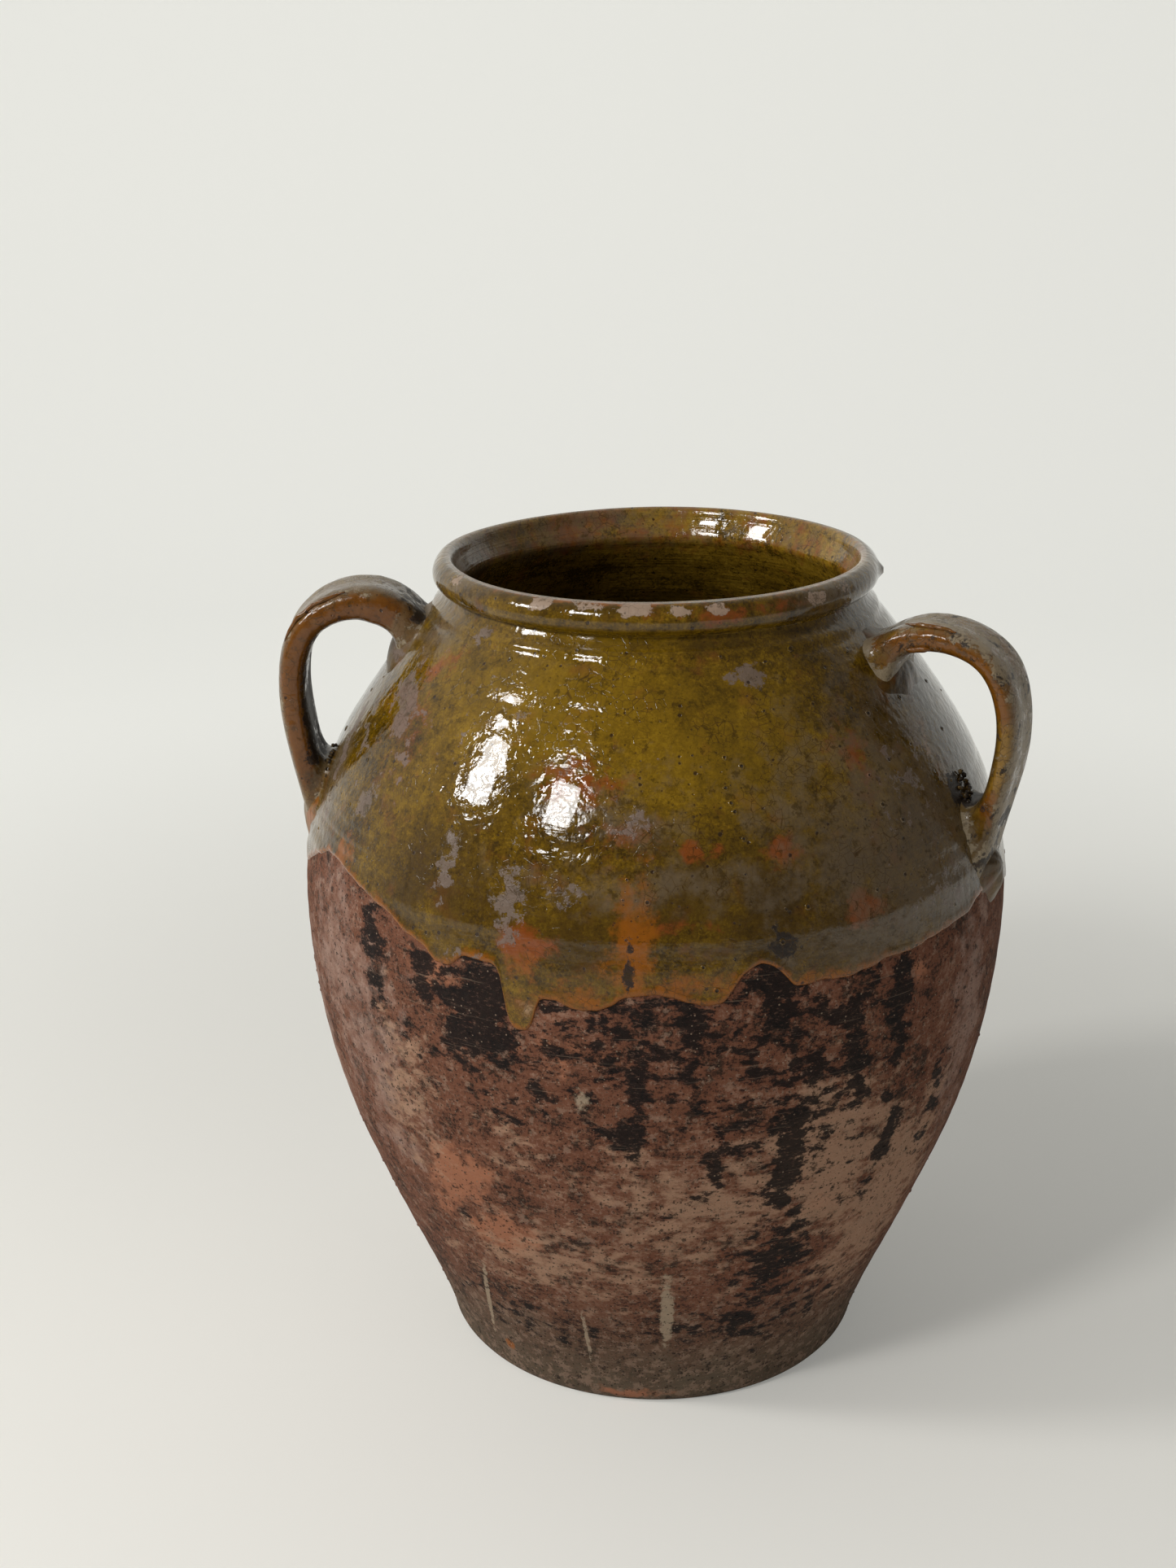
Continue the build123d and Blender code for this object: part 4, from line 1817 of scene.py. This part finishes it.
    def build_pad(self, shop: Workshop, form: PadForm, where: str, thumb: bool) -> bpy.types.Object:
        """Make one pad: a low dome that thins out into the wall, with smear marks on it.

        Args:
            shop: The workshop.
            form: The pad's size and place.
            where: Which root it covers.
            thumb: Whether it has a thumb print, where the strap has one.

        Returns:
            The pad.
        """
        section = shop.section
        rings, around = 34, 96
        share = (np.arange(rings) + 1) / rings
        turn = np.linspace(0, math.tau, around, endpoint=False)
        shares, turns = np.meshgrid(share, turn, indexing="ij")
        wobble = 1 + 0.10 * np.sin(turns * 3 + form.height) + 0.06 * np.sin(turns * 7 + 1.3)
        across = np.cos(turns) * shares * form.half_width * wobble + form.shift
        up = np.sin(turns) * shares * form.half_length * wobble
        out = form.proud * np.cos(shares * math.pi / 2) ** 1.6 - 1.3 * shares**3
        flat = np.stack([across.ravel(), up.ravel(), np.full(across.size, form.height)], axis=-1)
        smear = rough_noise(flat * np.array([1.0, 0.4, 1.0]), 8, 41).reshape(shares.shape)
        out = out + smear * 0.45 * (1 - shares**4)
        if thumb and self.thumb:
            aside, down = self.thumb
            half_width, half_length = self.thumb_size
            away = np.hypot((across - aside) / half_width, (up + down) / half_length)
            out -= self.thumb_depth * np.exp(-(away**2) * 1.6)
            curl = np.exp(-(((away - 1.15) / 0.3) ** 2)) * smooth_step((-2 - up - down) / 6)
            out += self.thumb_curl * curl
        top = section.on_wall(self.azimuth, form.height, across.ravel(), up.ravel(), out.ravel())
        peak = section.on_wall(self.azimuth, form.height, np.array([form.shift]), np.array([0.0]), form.proud)
        base = section.on_wall(self.azimuth, form.height, np.array([form.shift]), np.array([0.0]), -2.2)
        places = np.concatenate([top, peak, base])
        faces = ring_faces(rings, around, False, (rings * around, rings * around + 1))
        piece = mesh_object(f"{self.side}_{where}_root_pad", places, faces)
        recalculate(piece)
        return piece

    def build(self, shop: Workshop) -> None:
        """Make the strap and its pads.

        Args:
            shop: The workshop.
        """
        strap = self.build_strap(shop)
        shop.painter.paint(strap, self.marks)
        hand_in(strap, (f"{self.side}_handle", f"{self.side}_handle_glaze"), shop.handle)
        for number, (begin, end, corner) in enumerate(self.ridges):
            name = f"{self.side}_glaze_ridge_{number + 1}"
            ridge = self.build_ridge(shop.section, name, begin, end, corner)
            hand_in(ridge, (), shop.handle)
        for where, form in (("upper", self.upper_pad), ("lower", self.lower_pad)):
            pad = self.build_pad(shop, form, where, where == "lower")
            shop.painter.paint(pad, self.marks)
            hand_in(pad, (f"{self.side}_{where}_pad",), shop.pad)


def recalculate(piece: bpy.types.Object) -> None:
    """Point a closed piece's faces outwards.

    Args:
        piece: Mesh object.
    """
    form = bmesh.new()
    form.from_mesh(piece.data)
    bmesh.ops.recalc_face_normals(form, faces=form.faces)
    form.to_mesh(piece.data)
    form.free()
    piece.data.update()


# Small things strewn on the surface


@dataclass(frozen=True)
class Crumbs:
    """Rough crumbs of clay that stuck in the corner under a strap."""

    name: str
    azimuth: float
    height: float
    spread: float = 6.0
    count: int = 60
    sizes: tuple[float, float] = (0.35, 1.2)
    stand_out: float = 1.4
    seed: int = 5

    def build(self, shop: Workshop) -> None:
        """Make the crumbs as one piece.

        Args:
            shop: The workshop.
        """
        form = bmesh.new()
        bmesh.ops.create_icosphere(form, subdivisions=1, radius=1.0)
        ball = np.array([vertex.co for vertex in form.verts])
        corners = np.array([[vertex.index for vertex in face.verts] for face in form.faces])
        form.free()
        chance = np.random.default_rng(self.seed)
        across = chance.normal(0, self.spread * 0.5, self.count)
        up = chance.normal(0, self.spread, self.count)
        size = chance.uniform(*self.sizes, self.count)
        out = chance.uniform(0, self.stand_out, self.count)
        spots = shop.section.on_wall(self.azimuth, self.height, across, up, out)
        rough = 1 + chance.uniform(-0.3, 0.3, (self.count, len(ball), 1))
        places = spots[:, None, :] + ball[None] * size[:, None, None] * rough
        faces = corners[None] + np.arange(self.count)[:, None, None] * len(ball)
        piece = mesh_object(self.name, places.reshape(-1, 3), [faces.reshape(-1, 3)])
        write_layer(piece, Layer.SOOT, chance.uniform(0.3, 0.8, len(piece.data.vertices)))
        hand_in(piece, (), shop.pad)


@dataclass(frozen=True)
class Strewn:
    """How thickly a small form lies on a piece, for each square metre, and its range of sizes."""

    name: str
    density: float
    smallest: float
    largest: float
    seed: int


@dataclass
class Strewing:
    """Grains in the bare clay and burst blisters in the glaze."""

    grains: Strewn = Strewn("clay_grains", density=24000.0, smallest=0.5, largest=1.7, seed=4)
    blisters: Strewn = Strewn("glaze_blisters", density=5200.0, smallest=0.5, largest=1.5, seed=11)
    foot_clear: float = 4.0
    rim_clear: float = 303.0

    def grain(self) -> bpy.types.Object:
        """A lumpy grain of a few dozen faces, one millimetre across its middle.

        Returns:
            The grain.
        """
        form = bmesh.new()
        bmesh.ops.create_icosphere(form, subdivisions=1, radius=0.5 * MM)
        for vertex in form.verts:
            vertex.co.z *= 0.55
            vertex.co *= 1 + 0.2 * math.sin(vertex.index * 2.7)
        mesh = bpy.data.meshes.new("grain")
        form.to_mesh(mesh)
        form.free()
        mesh.shade_smooth()
        piece = bpy.data.objects.new("grain", mesh)
        bpy.context.scene.collection.objects.link(piece)
        return piece

    def blister(self) -> bpy.types.Object:
        """A burst blister: a raised ring of glaze about a dark hollow, one millimetre in radius.

        Returns:
            The blister.
        """
        profile = ((1.0, -0.12), (0.72, 0.16), (0.52, 0.20), (0.34, 0.06), (0.16, 0.0))
        around = 10
        turn = np.linspace(0, math.tau, around, endpoint=False)
        rings = [
            np.stack([radius * np.cos(turn), radius * np.sin(turn), np.full(around, height)], axis=-1)
            for radius, height in profile
        ]
        places = np.concatenate([*rings, [[0, 0, -0.3]], [[0, 0, 0.0]]])
        count = len(profile) * around
        piece = mesh_object("blister", places, ring_faces(len(profile), around, False, (count, count + 1)))
        recalculate(piece)
        distance = np.hypot(places[:, 0], places[:, 1])
        write_layer(piece, Layer.SOOT, (distance < 0.45).astype(float))
        return piece

    def strew(
        self, source: bpy.types.Object, form: bpy.types.Object, kind: Strewn, material: bpy.types.Material
    ) -> bpy.types.Object:
        """Strew a form over a piece, by its "strew" values, and drop the form.

        Args:
            source: Piece that is strewn over.
            form: Small form.
            kind: How thickly it lies, and its sizes.
            material: Its finish.

        Returns:
            The strewn forms as one piece.
        """
        piece = scatter_tree(kind.name.replace("_", " ")).run(
            source, kind.name, form=form, density=kind.density, smallest=kind.smallest, largest=kind.largest,
            seed=kind.seed, material=material,
        )
        bpy.data.objects.remove(form)
        source.data.attributes.remove(source.data.attributes["strew"])
        return piece

    def build(self, shop: Workshop, bowl: bpy.types.Object, coat: bpy.types.Object) -> None:
        """Strew the grains and the blisters.

        Args:
            shop: The workshop.
            bowl: The bare clay bowl.
            coat: The olive glaze.
        """
        for source in (bowl, coat):
            places = vertex_places(source)
            height = places[:, 2]
            edge = shop.run.height(np.degrees(np.arctan2(places[:, 1], places[:, 0])))
            buried = shop.section.radius_at(height) - np.hypot(places[:, 0], places[:, 1])
            if source is bowl:
                allowed = (height > self.foot_clear) & (height < edge - 3) & (buried < 2.5)
            else:
                allowed = (height > edge + 4) & (height < self.rim_clear) & (buried < 0.4)
            clump = smooth_step(rough_noise(places, 24, 13) * 1.6 + 0.35)
            store(source, "strew", clump * allowed)
        grains = self.strew(bowl, self.grain(), self.grains, shop.clay)
        hand_in(grains, (), shop.clay)
        blisters = self.strew(coat, self.blister(), self.blisters, shop.olive)
        hand_in(blisters, (), shop.olive)


# Floor, lamps and surroundings


@dataclass(frozen=True)
class Panel:
    """A lamp with a flat face, aimed at a spot."""

    name: str
    place: tuple[float, float, float]
    aim: tuple[float, float, float]
    wide: float
    tall: float
    brightness: float
    tint: tuple[float, float, float] = (1.0, 1.0, 1.0)
    mirrored: bool = True

    def light(self) -> bpy.types.Object:
        """Make the lamp. Its brightness is the radiance of its face.

        Returns:
            The lamp.
        """
        data = bpy.data.lights.new(self.name, "AREA")
        data.shape = "RECTANGLE"
        data.size = self.wide * MM
        data.size_y = self.tall * MM
        data.energy = self.brightness * math.pi * data.size * data.size_y
        data.color = self.tint
        lamp = bpy.data.objects.new(self.name, data)
        towards = Vector(self.aim) - Vector(self.place)
        turn = towards.to_track_quat("-Z", "Y").to_matrix().to_4x4()
        lamp.matrix_world = Matrix.Translation(Vector(self.place) * MM) @ turn
        lamp.visible_glossy = self.mirrored
        bpy.context.scene.collection.objects.link(lamp)
        return lamp


@dataclass
class Studio:
    """Plain pale surroundings with a window on the left and soft light.

    What is shown is how bright the surroundings look, apart from the light that they give.
    """

    floor_tint: Colour = colour(0.80, 0.785, 0.74)
    floor_cloud: Colour = colour(0.76, 0.75, 0.71)
    floor_share: float = 0.18
    sky: Colour = colour(1.0, 0.99, 0.96)
    bright_side: float = 0.58
    dark_side: float = 0.12
    shown: Colour = colour(1.12, 1.13, 1.07)
    shown_beyond: Colour = colour(0.80, 0.80, 0.755)
    wall_share: float = 0.52
    half_width: float = 2600.0
    back: float = 1500.0
    front: float = -2600.0
    wall_height: float = 2600.0
    cove: float = 350.0
    window_pixels: tuple[tuple[float, float], ...] = ((594, 955), (686, 1000))
    pane_away: float = 1500.0
    pane_size: tuple[float, float] = (240.0, 280.0)
    pane_brightness: float = 44.0
    pane_tint: tuple[float, float, float] = (1.0, 0.99, 0.97)
    glow: Panel = Panel(
        "window glow", place=(-1500, -900, 1500), aim=(0, 0, 180), wide=1500, tall=1500, brightness=0.92,
        tint=(1.0, 0.985, 0.96), mirrored=False,
    )
    fill: Panel = Panel(
        "room fill", place=(1400, -1500, 700), aim=(0, 0, 150), wide=1300, tall=1300, brightness=0.74,
        tint=(1.0, 0.97, 0.93), mirrored=False,
    )

    def build(self, shop: Workshop) -> None:
        """Make the floor with its back wall, the lamps and the world.

        Args:
            shop: The workshop.
        """
        self.sweep()
        self.world()
        self.glow.light()
        self.fill.light()
        for number, pixel in enumerate(self.window_pixels):
            self.pane(shop, f"window pane {number + 1}", pixel).light()

    def pane(self, shop: Workshop, name: str, pixel: tuple[float, float]) -> Panel:
        """A bright pane that the wall mirrors towards the viewer at a pixel.

        Args:
            shop: The workshop.
            name: Name of the lamp.
            pixel: Across and down in the photograph.

        Returns:
            The pane.
        """
        section, view = shop.section, shop.view
        azimuth, height = section.seen(view, pixel)
        length = float(section.length_at(height))
        out = float(np.interp(length, section.length, section.normal_radius))
        up = float(np.interp(length, section.length, section.normal_height))
        facing = math.radians(azimuth)
        radius = float(section.radius_at(height))
        spot = Vector((radius * math.cos(facing), radius * math.sin(facing), height))
        normal = Vector((out * math.cos(facing), out * math.sin(facing), up)).normalized()
        away = (spot - view.eye()).normalized()
        mirrored = away - normal * (2 * away.dot(normal))
        place = spot + mirrored * self.pane_away
        wide, tall = self.pane_size
        return Panel(name, tuple(place), tuple(spot), wide, tall, self.pane_brightness, self.pane_tint)

    def sweep(self) -> None:
        """Floor that curves up into the back wall."""
        bend = [
            (self.back - self.cove + self.cove * math.sin(a), self.cove - self.cove * math.cos(a))
            for a in np.linspace(0, math.pi / 2, 24)
        ]
        line = [(self.front, 0.0), *bend, (self.back, self.wall_height)]
        places = np.array([(x, y, z) for y, z in line for x in (-self.half_width, self.half_width)])
        rows = np.arange(len(line) - 1) * 2
        faces = np.stack([rows, rows + 1, rows + 3, rows + 2], axis=-1)
        piece = mesh_object("floor_sweep", places, [faces])
        sheet = Finish("pale plaster")
        cloud = sheet.noise(sheet.place, 300, 3)
        tint = sheet.blend(sheet.times(cloud, 0.3), self.floor_tint, self.floor_cloud)
        sheet.put(sheet.shader.inputs["Base Color"], tint)
        sheet.shader.inputs["Roughness"].default_value = 0.9
        glow = sheet.node("ShaderNodeEmission", {0: self.shown}).outputs[0]
        path = sheet.node("ShaderNodeLightPath").outputs
        seen = sheet.math("MAXIMUM", path["Is Camera Ray"], path["Is Glossy Ray"])
        seen = sheet.math("MAXIMUM", seen, path["Is Transmission Ray"])
        away = sheet.node("ShaderNodeVectorMath", {0: sheet.place}, operation="LENGTH").outputs["Value"]
        rise = sheet.ease(away, 0.22, 0.95)
        share = sheet.add(self.floor_share, rise, self.wall_share - self.floor_share)
        ways = {0: sheet.times(seen, share), 1: sheet.shader.outputs[0], 2: glow}
        output = next(n for n in sheet.tree.nodes if n.type == "OUTPUT_MATERIAL")
        sheet.put(output.inputs[0], sheet.node("ShaderNodeMixShader", ways).outputs[0])
        piece.data.materials.append(sheet.material)

    def world(self) -> None:
        """Grey-blue room light, shown as a pale backdrop."""
        world = bpy.data.worlds.new("room")
        bpy.context.scene.world = world
        world.use_nodes = True
        sheet = Sheet(world.node_tree)
        world.node_tree.nodes.clear()
        direction = sheet.parts(sheet.node("ShaderNodeTexCoord").outputs["Generated"])
        side = sheet.add(direction[1], direction[0], -0.45)
        strength = sheet.add(self.dark_side, sheet.ease(side, -0.35, 0.6), self.bright_side - self.dark_side)
        light = sheet.node("ShaderNodeBackground", {0: self.sky, 1: strength}).outputs[0]
        shown = sheet.node("ShaderNodeBackground", {0: self.shown_beyond}).outputs[0]
        seen = sheet.node("ShaderNodeLightPath").outputs["Is Camera Ray"]
        chosen = sheet.node("ShaderNodeMixShader", {0: seen, 1: light, 2: shown}).outputs[0]
        sheet.node("ShaderNodeOutputWorld", {0: chosen})


# Stains by layer, with some painted shade and painted sheen among them. Each row has its middle, half its
# width and height, and then its strength, its lean in degrees and how ragged it is, where they aren't the
# usual ones. The middle is a pixel of the photograph, across and down, for what is seen, and an azimuth and a
# height for what is behind or on a strap's root.

StainTable = dict[Layer, tuple[tuple[float, ...], ...]]

CLAY_STAINS_SEEN: StainTable = {
    Layer.SOOT: (
        (800, 1280, 80, 36, 0.58), (985, 1330, 50, 62, 0.58), (592, 1240, 17, 26), (620, 1290, 8, 9, 0.8),
        (520, 1195, 10, 14, 0.72), (455, 1170, 7, 24, 0.68), (785, 1340, 7, 30, 0.78),
        (765, 1395, 14, 7, 0.66), (955, 1185, 12, 24), (930, 1290, 20, 10, 0.72),
        (860, 1260, 26, 12, 0.66), (1108, 1230, 6, 24), (1050, 1290, 7, 26, 0.85, -8),
        (1085, 1405, 5, 22, 0.82, 10), (968, 1435, 6, 32, 0.98), (955, 1545, 14, 24, 0.88),
        (880, 1430, 10, 20, 0.6), (660, 1340, 18, 12, 0.52), (580, 1480, 12, 10, 0.46),
        (1150, 1330, 9, 40, 0.52), (640, 1610, 34, 14, 0.58), (920, 1620, 50, 16, 0.6),
    ),
    Layer.LIME: (
        (819, 1615, 2.6, 20, 1, 0, 0.25), (600, 1595, 1.1, 26, 1, 16, 0.2),
        (712, 1355, 3, 5, 0.6, 0, 0.8), (720, 1640, 0.9, 18, 0.9, 0, 0.2),
    ),
    Layer.SALMON: (
        (560, 1450, 22, 12, 0.9, -50), (620, 1515, 16, 10, 0.9), (690, 1290, 24, 14, 0.52),
        (530, 1190, 22, 10, 0.55), (1130, 1190, 8, 7, 0.6), (1000, 1480, 14, 8, 0.62),
        (770, 1712, 14, 3, 0.8),
    ),
    Layer.TAN: (
        (1022, 1430, 24, 36), (890, 1480, 60, 32, 0.66), (1085, 1470, 22, 46, 0.95),
        (720, 1560, 60, 26, 0.6), (500, 1340, 16, 34, 0.6), (640, 1420, 30, 20, 0.42),
    ),
    Layer.HAZE: (
        (410, 1170, 20, 32, 0.76), (450, 1280, 24, 46, 0.66), (400, 1300, 14, 50, 0.8),
        (1190, 1250, 14, 54, 0.76),
    ),
    Layer.AMBER: (
        (627, 1652, 2.2, 2.6),
    ),
}

CLAY_STAINS_BEHIND: StainTable = {
    Layer.SOOT: (
        (60, 150, 90, 50, 0.46), (140, 120, 60, 70, 0.44), (60, 178, 10, 24, 0.85),
        (100, 170, 9, 26, 0.8), (36, 160, 12, 26, 0.72), (140, 150, 8, 40, 0.7),
    ),
    Layer.LIME: (
        (115, 70, 2, 26, 1, 0, 0.2),
    ),
    Layer.SALMON: (
        (80, 80, 40, 26, 0.62),
    ),
    Layer.TAN: (
        (20, 100, 50, 40, 0.5), (110, 70, 50, 34, 0.52),
    ),
    Layer.HAZE: (
        (160, 120, 44, 60, 0.62),
    ),
}

GLAZE_STAINS_AND_SHEEN_SEEN: StainTable = {
    Layer.SOOT: (
        (961, 1165, 5, 9, 0.7), (772, 1195, 2.5, 9, 0.7), (600, 1190, 8, 3, 0.55), (510, 1165, 6, 3, 0.6),
    ),
    Layer.LIME: (
        (650, 1245, 5, 9, 0.5),
    ),
    # The haze rows on the right side at 1110, 1030 and 1060, 860, and the leaning one on the left limb at
    # 440, 880, are a painted reflection of the pale room at grazing angles.
    Layer.HAZE: (
        (1110, 1030, 46, 44, 0.9), (1060, 860, 20, 18, 0.62), (830, 1090, 60, 9, 0.62),
        (760, 1010, 26, 20, 0.58), (440, 880, 10, 46, 0.9, -26), (545, 770, 12, 14, 0.8),
        (1020, 735, 26, 6, 0.7), (570, 720, 14, 8, 0.7),
    ),
    # The leaning film rows on the left limb at 500, 865, 470, 850 and 425, 920, and the rows on the right
    # side at 1130, 905, 1110, 980 and 1160, 1090, are a painted reflection of the pale room at grazing
    # angles; the other rows are a real film.
    Layer.FILM: (
        (500, 865, 7, 26, 0.82, -36), (548, 1075, 6, 11, 0.72), (628, 1105, 6, 16, 0.74),
        (690, 1100, 9, 6, 0.55), (922, 830, 7, 4, 0.8), (560, 900, 60, 34, 0.27), (450, 985, 6, 12, 0.7),
        (770, 1010, 12, 10, 0.5), (595, 775, 5, 6, 0.6), (580, 1180, 12, 5, 0.5),
        (470, 850, 5, 40, 0.55, -34), (1130, 905, 7, 22, 0.55, 24), (1110, 980, 20, 20, 0.42),
        (425, 920, 4, 34, 0.62, -22), (1160, 1090, 20, 12, 0.5),
    ),
    Layer.BLUSH: (
        (765, 1025, 11, 7, 0.66), (850, 1045, 3, 3), (880, 1043, 2.6, 2.6), (960, 1045, 6, 5, 0.9),
        (640, 1160, 8, 7), (1065, 1115, 8, 5), (720, 960, 16, 12, 0.62), (1050, 930, 10, 14, 0.6),
        (840, 1140, 12, 4, 0.6), (545, 820, 12, 5, 0.62, -36), (500, 885, 12, 24, 0.62, -36),
        (900, 755, 30, 4, 0.6),
    ),
    Layer.AMBER: (
        (780, 1165, 7, 24, 0.85), (850, 1212, 30, 6, 0.6), (700, 1228, 22, 6, 0.62),
        (640, 1190, 10, 10, 0.5), (420, 1055, 8, 10, 0.8), (1010, 1200, 26, 5, 0.6),
        (750, 733, 40, 2, 0.9), (940, 728, 34, 2, 0.9), (620, 722, 22, 2, 0.8),
    ),
    Layer.DEEP: (
        (900, 1110, 50, 20, 0.85), (1040, 1150, 44, 16, 0.9), (1180, 1110, 26, 14, 0.8),
        (720, 1140, 36, 18, 0.8), (540, 1090, 40, 26, 0.72), (860, 795, 60, 2.5, 0.6),
        (840, 770, 60, 3, 0.36), (1090, 890, 24, 16, 0.7), (1150, 1000, 20, 30, 0.66),
        (700, 742, 40, 3, 0.8), (960, 742, 40, 3, 0.8),
    ),
    Layer.GOLD: (
        (690, 870, 46, 26, 0.95), (900, 930, 44, 26, 0.75), (520, 960, 18, 16, 0.5),
        (560, 830, 20, 14, 0.7), (740, 785, 46, 7, 0.8),
    ),
    Layer.CHIP: (
        (1137, 908, 3, 17, 0.62, 30), (665, 742, 3.4, 2.2), (780, 750, 5, 2.2), (835, 752, 4, 2),
        (882, 749, 3.6, 2), (1005, 735, 5, 2.4), (720, 745, 8, 2, 0.6), (1040, 722, 8, 4, 0.6),
        (560, 712, 6, 5, 0.62),
    ),
}

GLAZE_STAINS_BEHIND: StainTable = {
    Layer.SOOT: (
        (-28, 243, 6, 11, 0.85),
    ),
    Layer.HAZE: (
        (20, 240, 30, 34, 0.75), (150, 250, 24, 30, 0.7),
    ),
    Layer.FILM: (
        (75, 250, 14, 26, 0.7), (140, 280, 9, 16, 0.66), (20, 262, 16, 14, 0.6),
    ),
    Layer.BLUSH: (
        (95, 225, 14, 9, 0.8), (50, 235, 10, 8, 0.8),
    ),
    Layer.AMBER: (
        (66, 214, 6, 20, 0.9),
    ),
    Layer.DEEP: (
        (120, 220, 46, 16, 0.7), (60, 215, 40, 14, 0.7),
    ),
    Layer.GOLD: (
        (90, 270, 60, 26, 0.85),
    ),
    Layer.CHIP: (
        (80, 316, 7, 2.4), (130, 315, 5, 2.2),
    ),
}

LEFT_ROOT_STAINS: StainTable = {
    Layer.SOOT: (
        (190, 268, 12, 4, 0.7),
    ),
    Layer.HAZE: (
        (186, 290, 26, 18, 0.9),
    ),
    Layer.FILM: (
        (190, 286, 16, 12, 0.55),
    ),
    Layer.AMBER: (
        (190, 216, 10, 12, 0.75),
    ),
}

RIGHT_ROOT_STAINS_AND_SHADOW: StainTable = {
    Layer.SOOT: (
        # The soot row at -36 degrees and 273 mm is painted shadow under the upper root's curled end.
        (-24, 238, 9, 8, 0.9), (-31, 240, 4, 9, 0.7), (-36, 273, 6, 3, 0.8),
    ),
    Layer.HAZE: (
        (-24, 292, 24, 10, 0.8),
    ),
    Layer.BLUSH: (
        (-30, 296, 8, 5, 0.6),
    ),
    Layer.AMBER: (
        (-34, 226, 5, 14, 0.9),
    ),
    Layer.DEEP: (
        # The deep row at -33 degrees and 277 mm is painted shadow under the upper root's curled end.
        (-28, 226, 16, 16, 0.95), (-12, 205, 8, 12, 0.9), (-33, 277, 12, 7, 0.95),
    ),
}


def marks_from(table: StainTable, behind: bool) -> list[Mark]:
    """Marks of a table of stains, with painted shade and painted sheen in some tables.

    Args:
        table: The stains' rows by layer.
        behind: Whether the rows start with an azimuth and a height.

    Returns:
        One mark for each row.
    """
    return [Mark(layer, row[:2], *row[2:], behind=behind) for layer, rows in table.items() for row in rows]


def straps() -> list[StrapHandle]:
    """The two handles.

    Returns:
        The left one and the right one.
    """
    return [
        StrapHandle(
            side="left", azimuth=182.7, width=31.0, thickness=10.5, upper_root_height=289.0,
            crown_height=301.4, lower_root_height=206.0, stand_out=2.1,
            upper_print=RootPrint(285.5, half_width=22.0, half_length=17.0, reach_in=7.0, reach_out=16.0),
            lower_print=RootPrint(227.0, half_width=21.0, half_length=26.0, reach_in=10.0, reach_out=16.0),
            upper_pad=PadForm(height=286.0, half_width=25.0, half_length=18.0, proud=4.0),
            lower_pad=PadForm(height=222.0, half_width=22.0, half_length=19.0, proud=4.0),
            ridges=((0.24, 0.42, 48.0),), marks=marks_from(LEFT_ROOT_STAINS, behind=True),
        ),
        StrapHandle(
            side="right", azimuth=-24.0, width=28.0, thickness=8.5, upper_root_height=290.5,
            crown_height=298.8, lower_root_height=207.0, stand_out=5.1,
            upper_print=RootPrint(284.5, half_width=24.0, half_length=19.0, reach_in=10.0, reach_out=19.0),
            lower_print=RootPrint(225.0, half_width=20.0, half_length=26.0, reach_in=11.0, reach_out=17.0),
            upper_pad=PadForm(height=286.0, half_width=23.0, half_length=17.0, proud=4.0),
            lower_pad=PadForm(height=213.0, half_width=18.0, half_length=15.0, proud=4.8, shift=3.0),
            thumb=(10.0, 0.0), squareness=2.8, free_from=0.21,
            ridges=((0.15, 0.27, -40.0), (0.15, 0.22, -112.0)),
            marks=marks_from(RIGHT_ROOT_STAINS_AND_SHADOW, behind=True),
        ),
    ]


def main() -> None:
    """Build the jar's looks around the frame."""
    logging.basicConfig(level=logging.INFO, format="%(name)s: %(message)s")
    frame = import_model()
    bpy.context.scene.view_settings.view_transform = "Standard"
    view = Viewpoint()
    view.place_camera()
    section = Section(frame["nodes"])
    shop = Workshop(
        section=section,
        view=view,
        run=RunLine(section, view),
        painter=Painter(section, view),
        rings=throwing_tree(),
        clay=BareClay().material(),
        olive=LeadGlaze("olive lead glaze", coat=0.3, low_wear=0.6, specular=0.26).material(),
        inner=LeadGlaze(
            "inner lead glaze", deep=colour(0.060, 0.034, 0.003), body=colour(0.215, 0.122, 0.010),
            light=colour(0.290, 0.175, 0.018), rust=colour(0.24, 0.09, 0.014), gloss=0.06, coat=0.5, ring=0.5,
        ).material(),
        handle=LeadGlaze(
            "handle lead glaze", deep=colour(0.045, 0.022, 0.005), body=colour(0.110, 0.054, 0.012),
            light=colour(0.180, 0.100, 0.028), gloss=0.14, coat=0.2, ring=0.0, bump=0.8,
            # The film and haze tints also colour the painted sheen on the strap's outer and upper faces.
            tints={
                Layer.AMBER: colour(0.140, 0.047, 0.004), Layer.FILM: colour(0.245, 0.195, 0.125),
                Layer.HAZE: colour(0.140, 0.098, 0.046), Layer.GOLD: colour(0.260, 0.140, 0.010),
            },
        ).material(),
        pad=LeadGlaze(
            "pad lead glaze", deep=colour(0.040, 0.022, 0.004), body=colour(0.105, 0.060, 0.012),
            light=colour(0.16, 0.10, 0.03), gloss=0.34, coat=0.12, ring=0.0, bump=0.6,
        ).material(),
    )
    clay_stains = marks_from(CLAY_STAINS_SEEN, behind=False) + marks_from(CLAY_STAINS_BEHIND, behind=True)
    bowl = ThrownBody(marks=clay_stains).build(shop)
    glaze_stains_and_sheen = marks_from(GLAZE_STAINS_AND_SHEEN_SEEN, behind=False) + marks_from(GLAZE_STAINS_BEHIND, behind=True)
    coat = GlazeCoat(marks=glaze_stains_and_sheen).build(shop)
    for strap in straps():
        strap.build(shop)
    Crumbs("left_root_crumbs", azimuth=187.0, height=237.0, spread=5.0).build(shop)
    Crumbs("right_root_crumbs", azimuth=-25.0, height=239.0, spread=4.0, seed=8).build(shop)
    Strewing().build(shop, bowl, coat)
    Studio().build(shop)


if __name__ == "__main__":
    main()
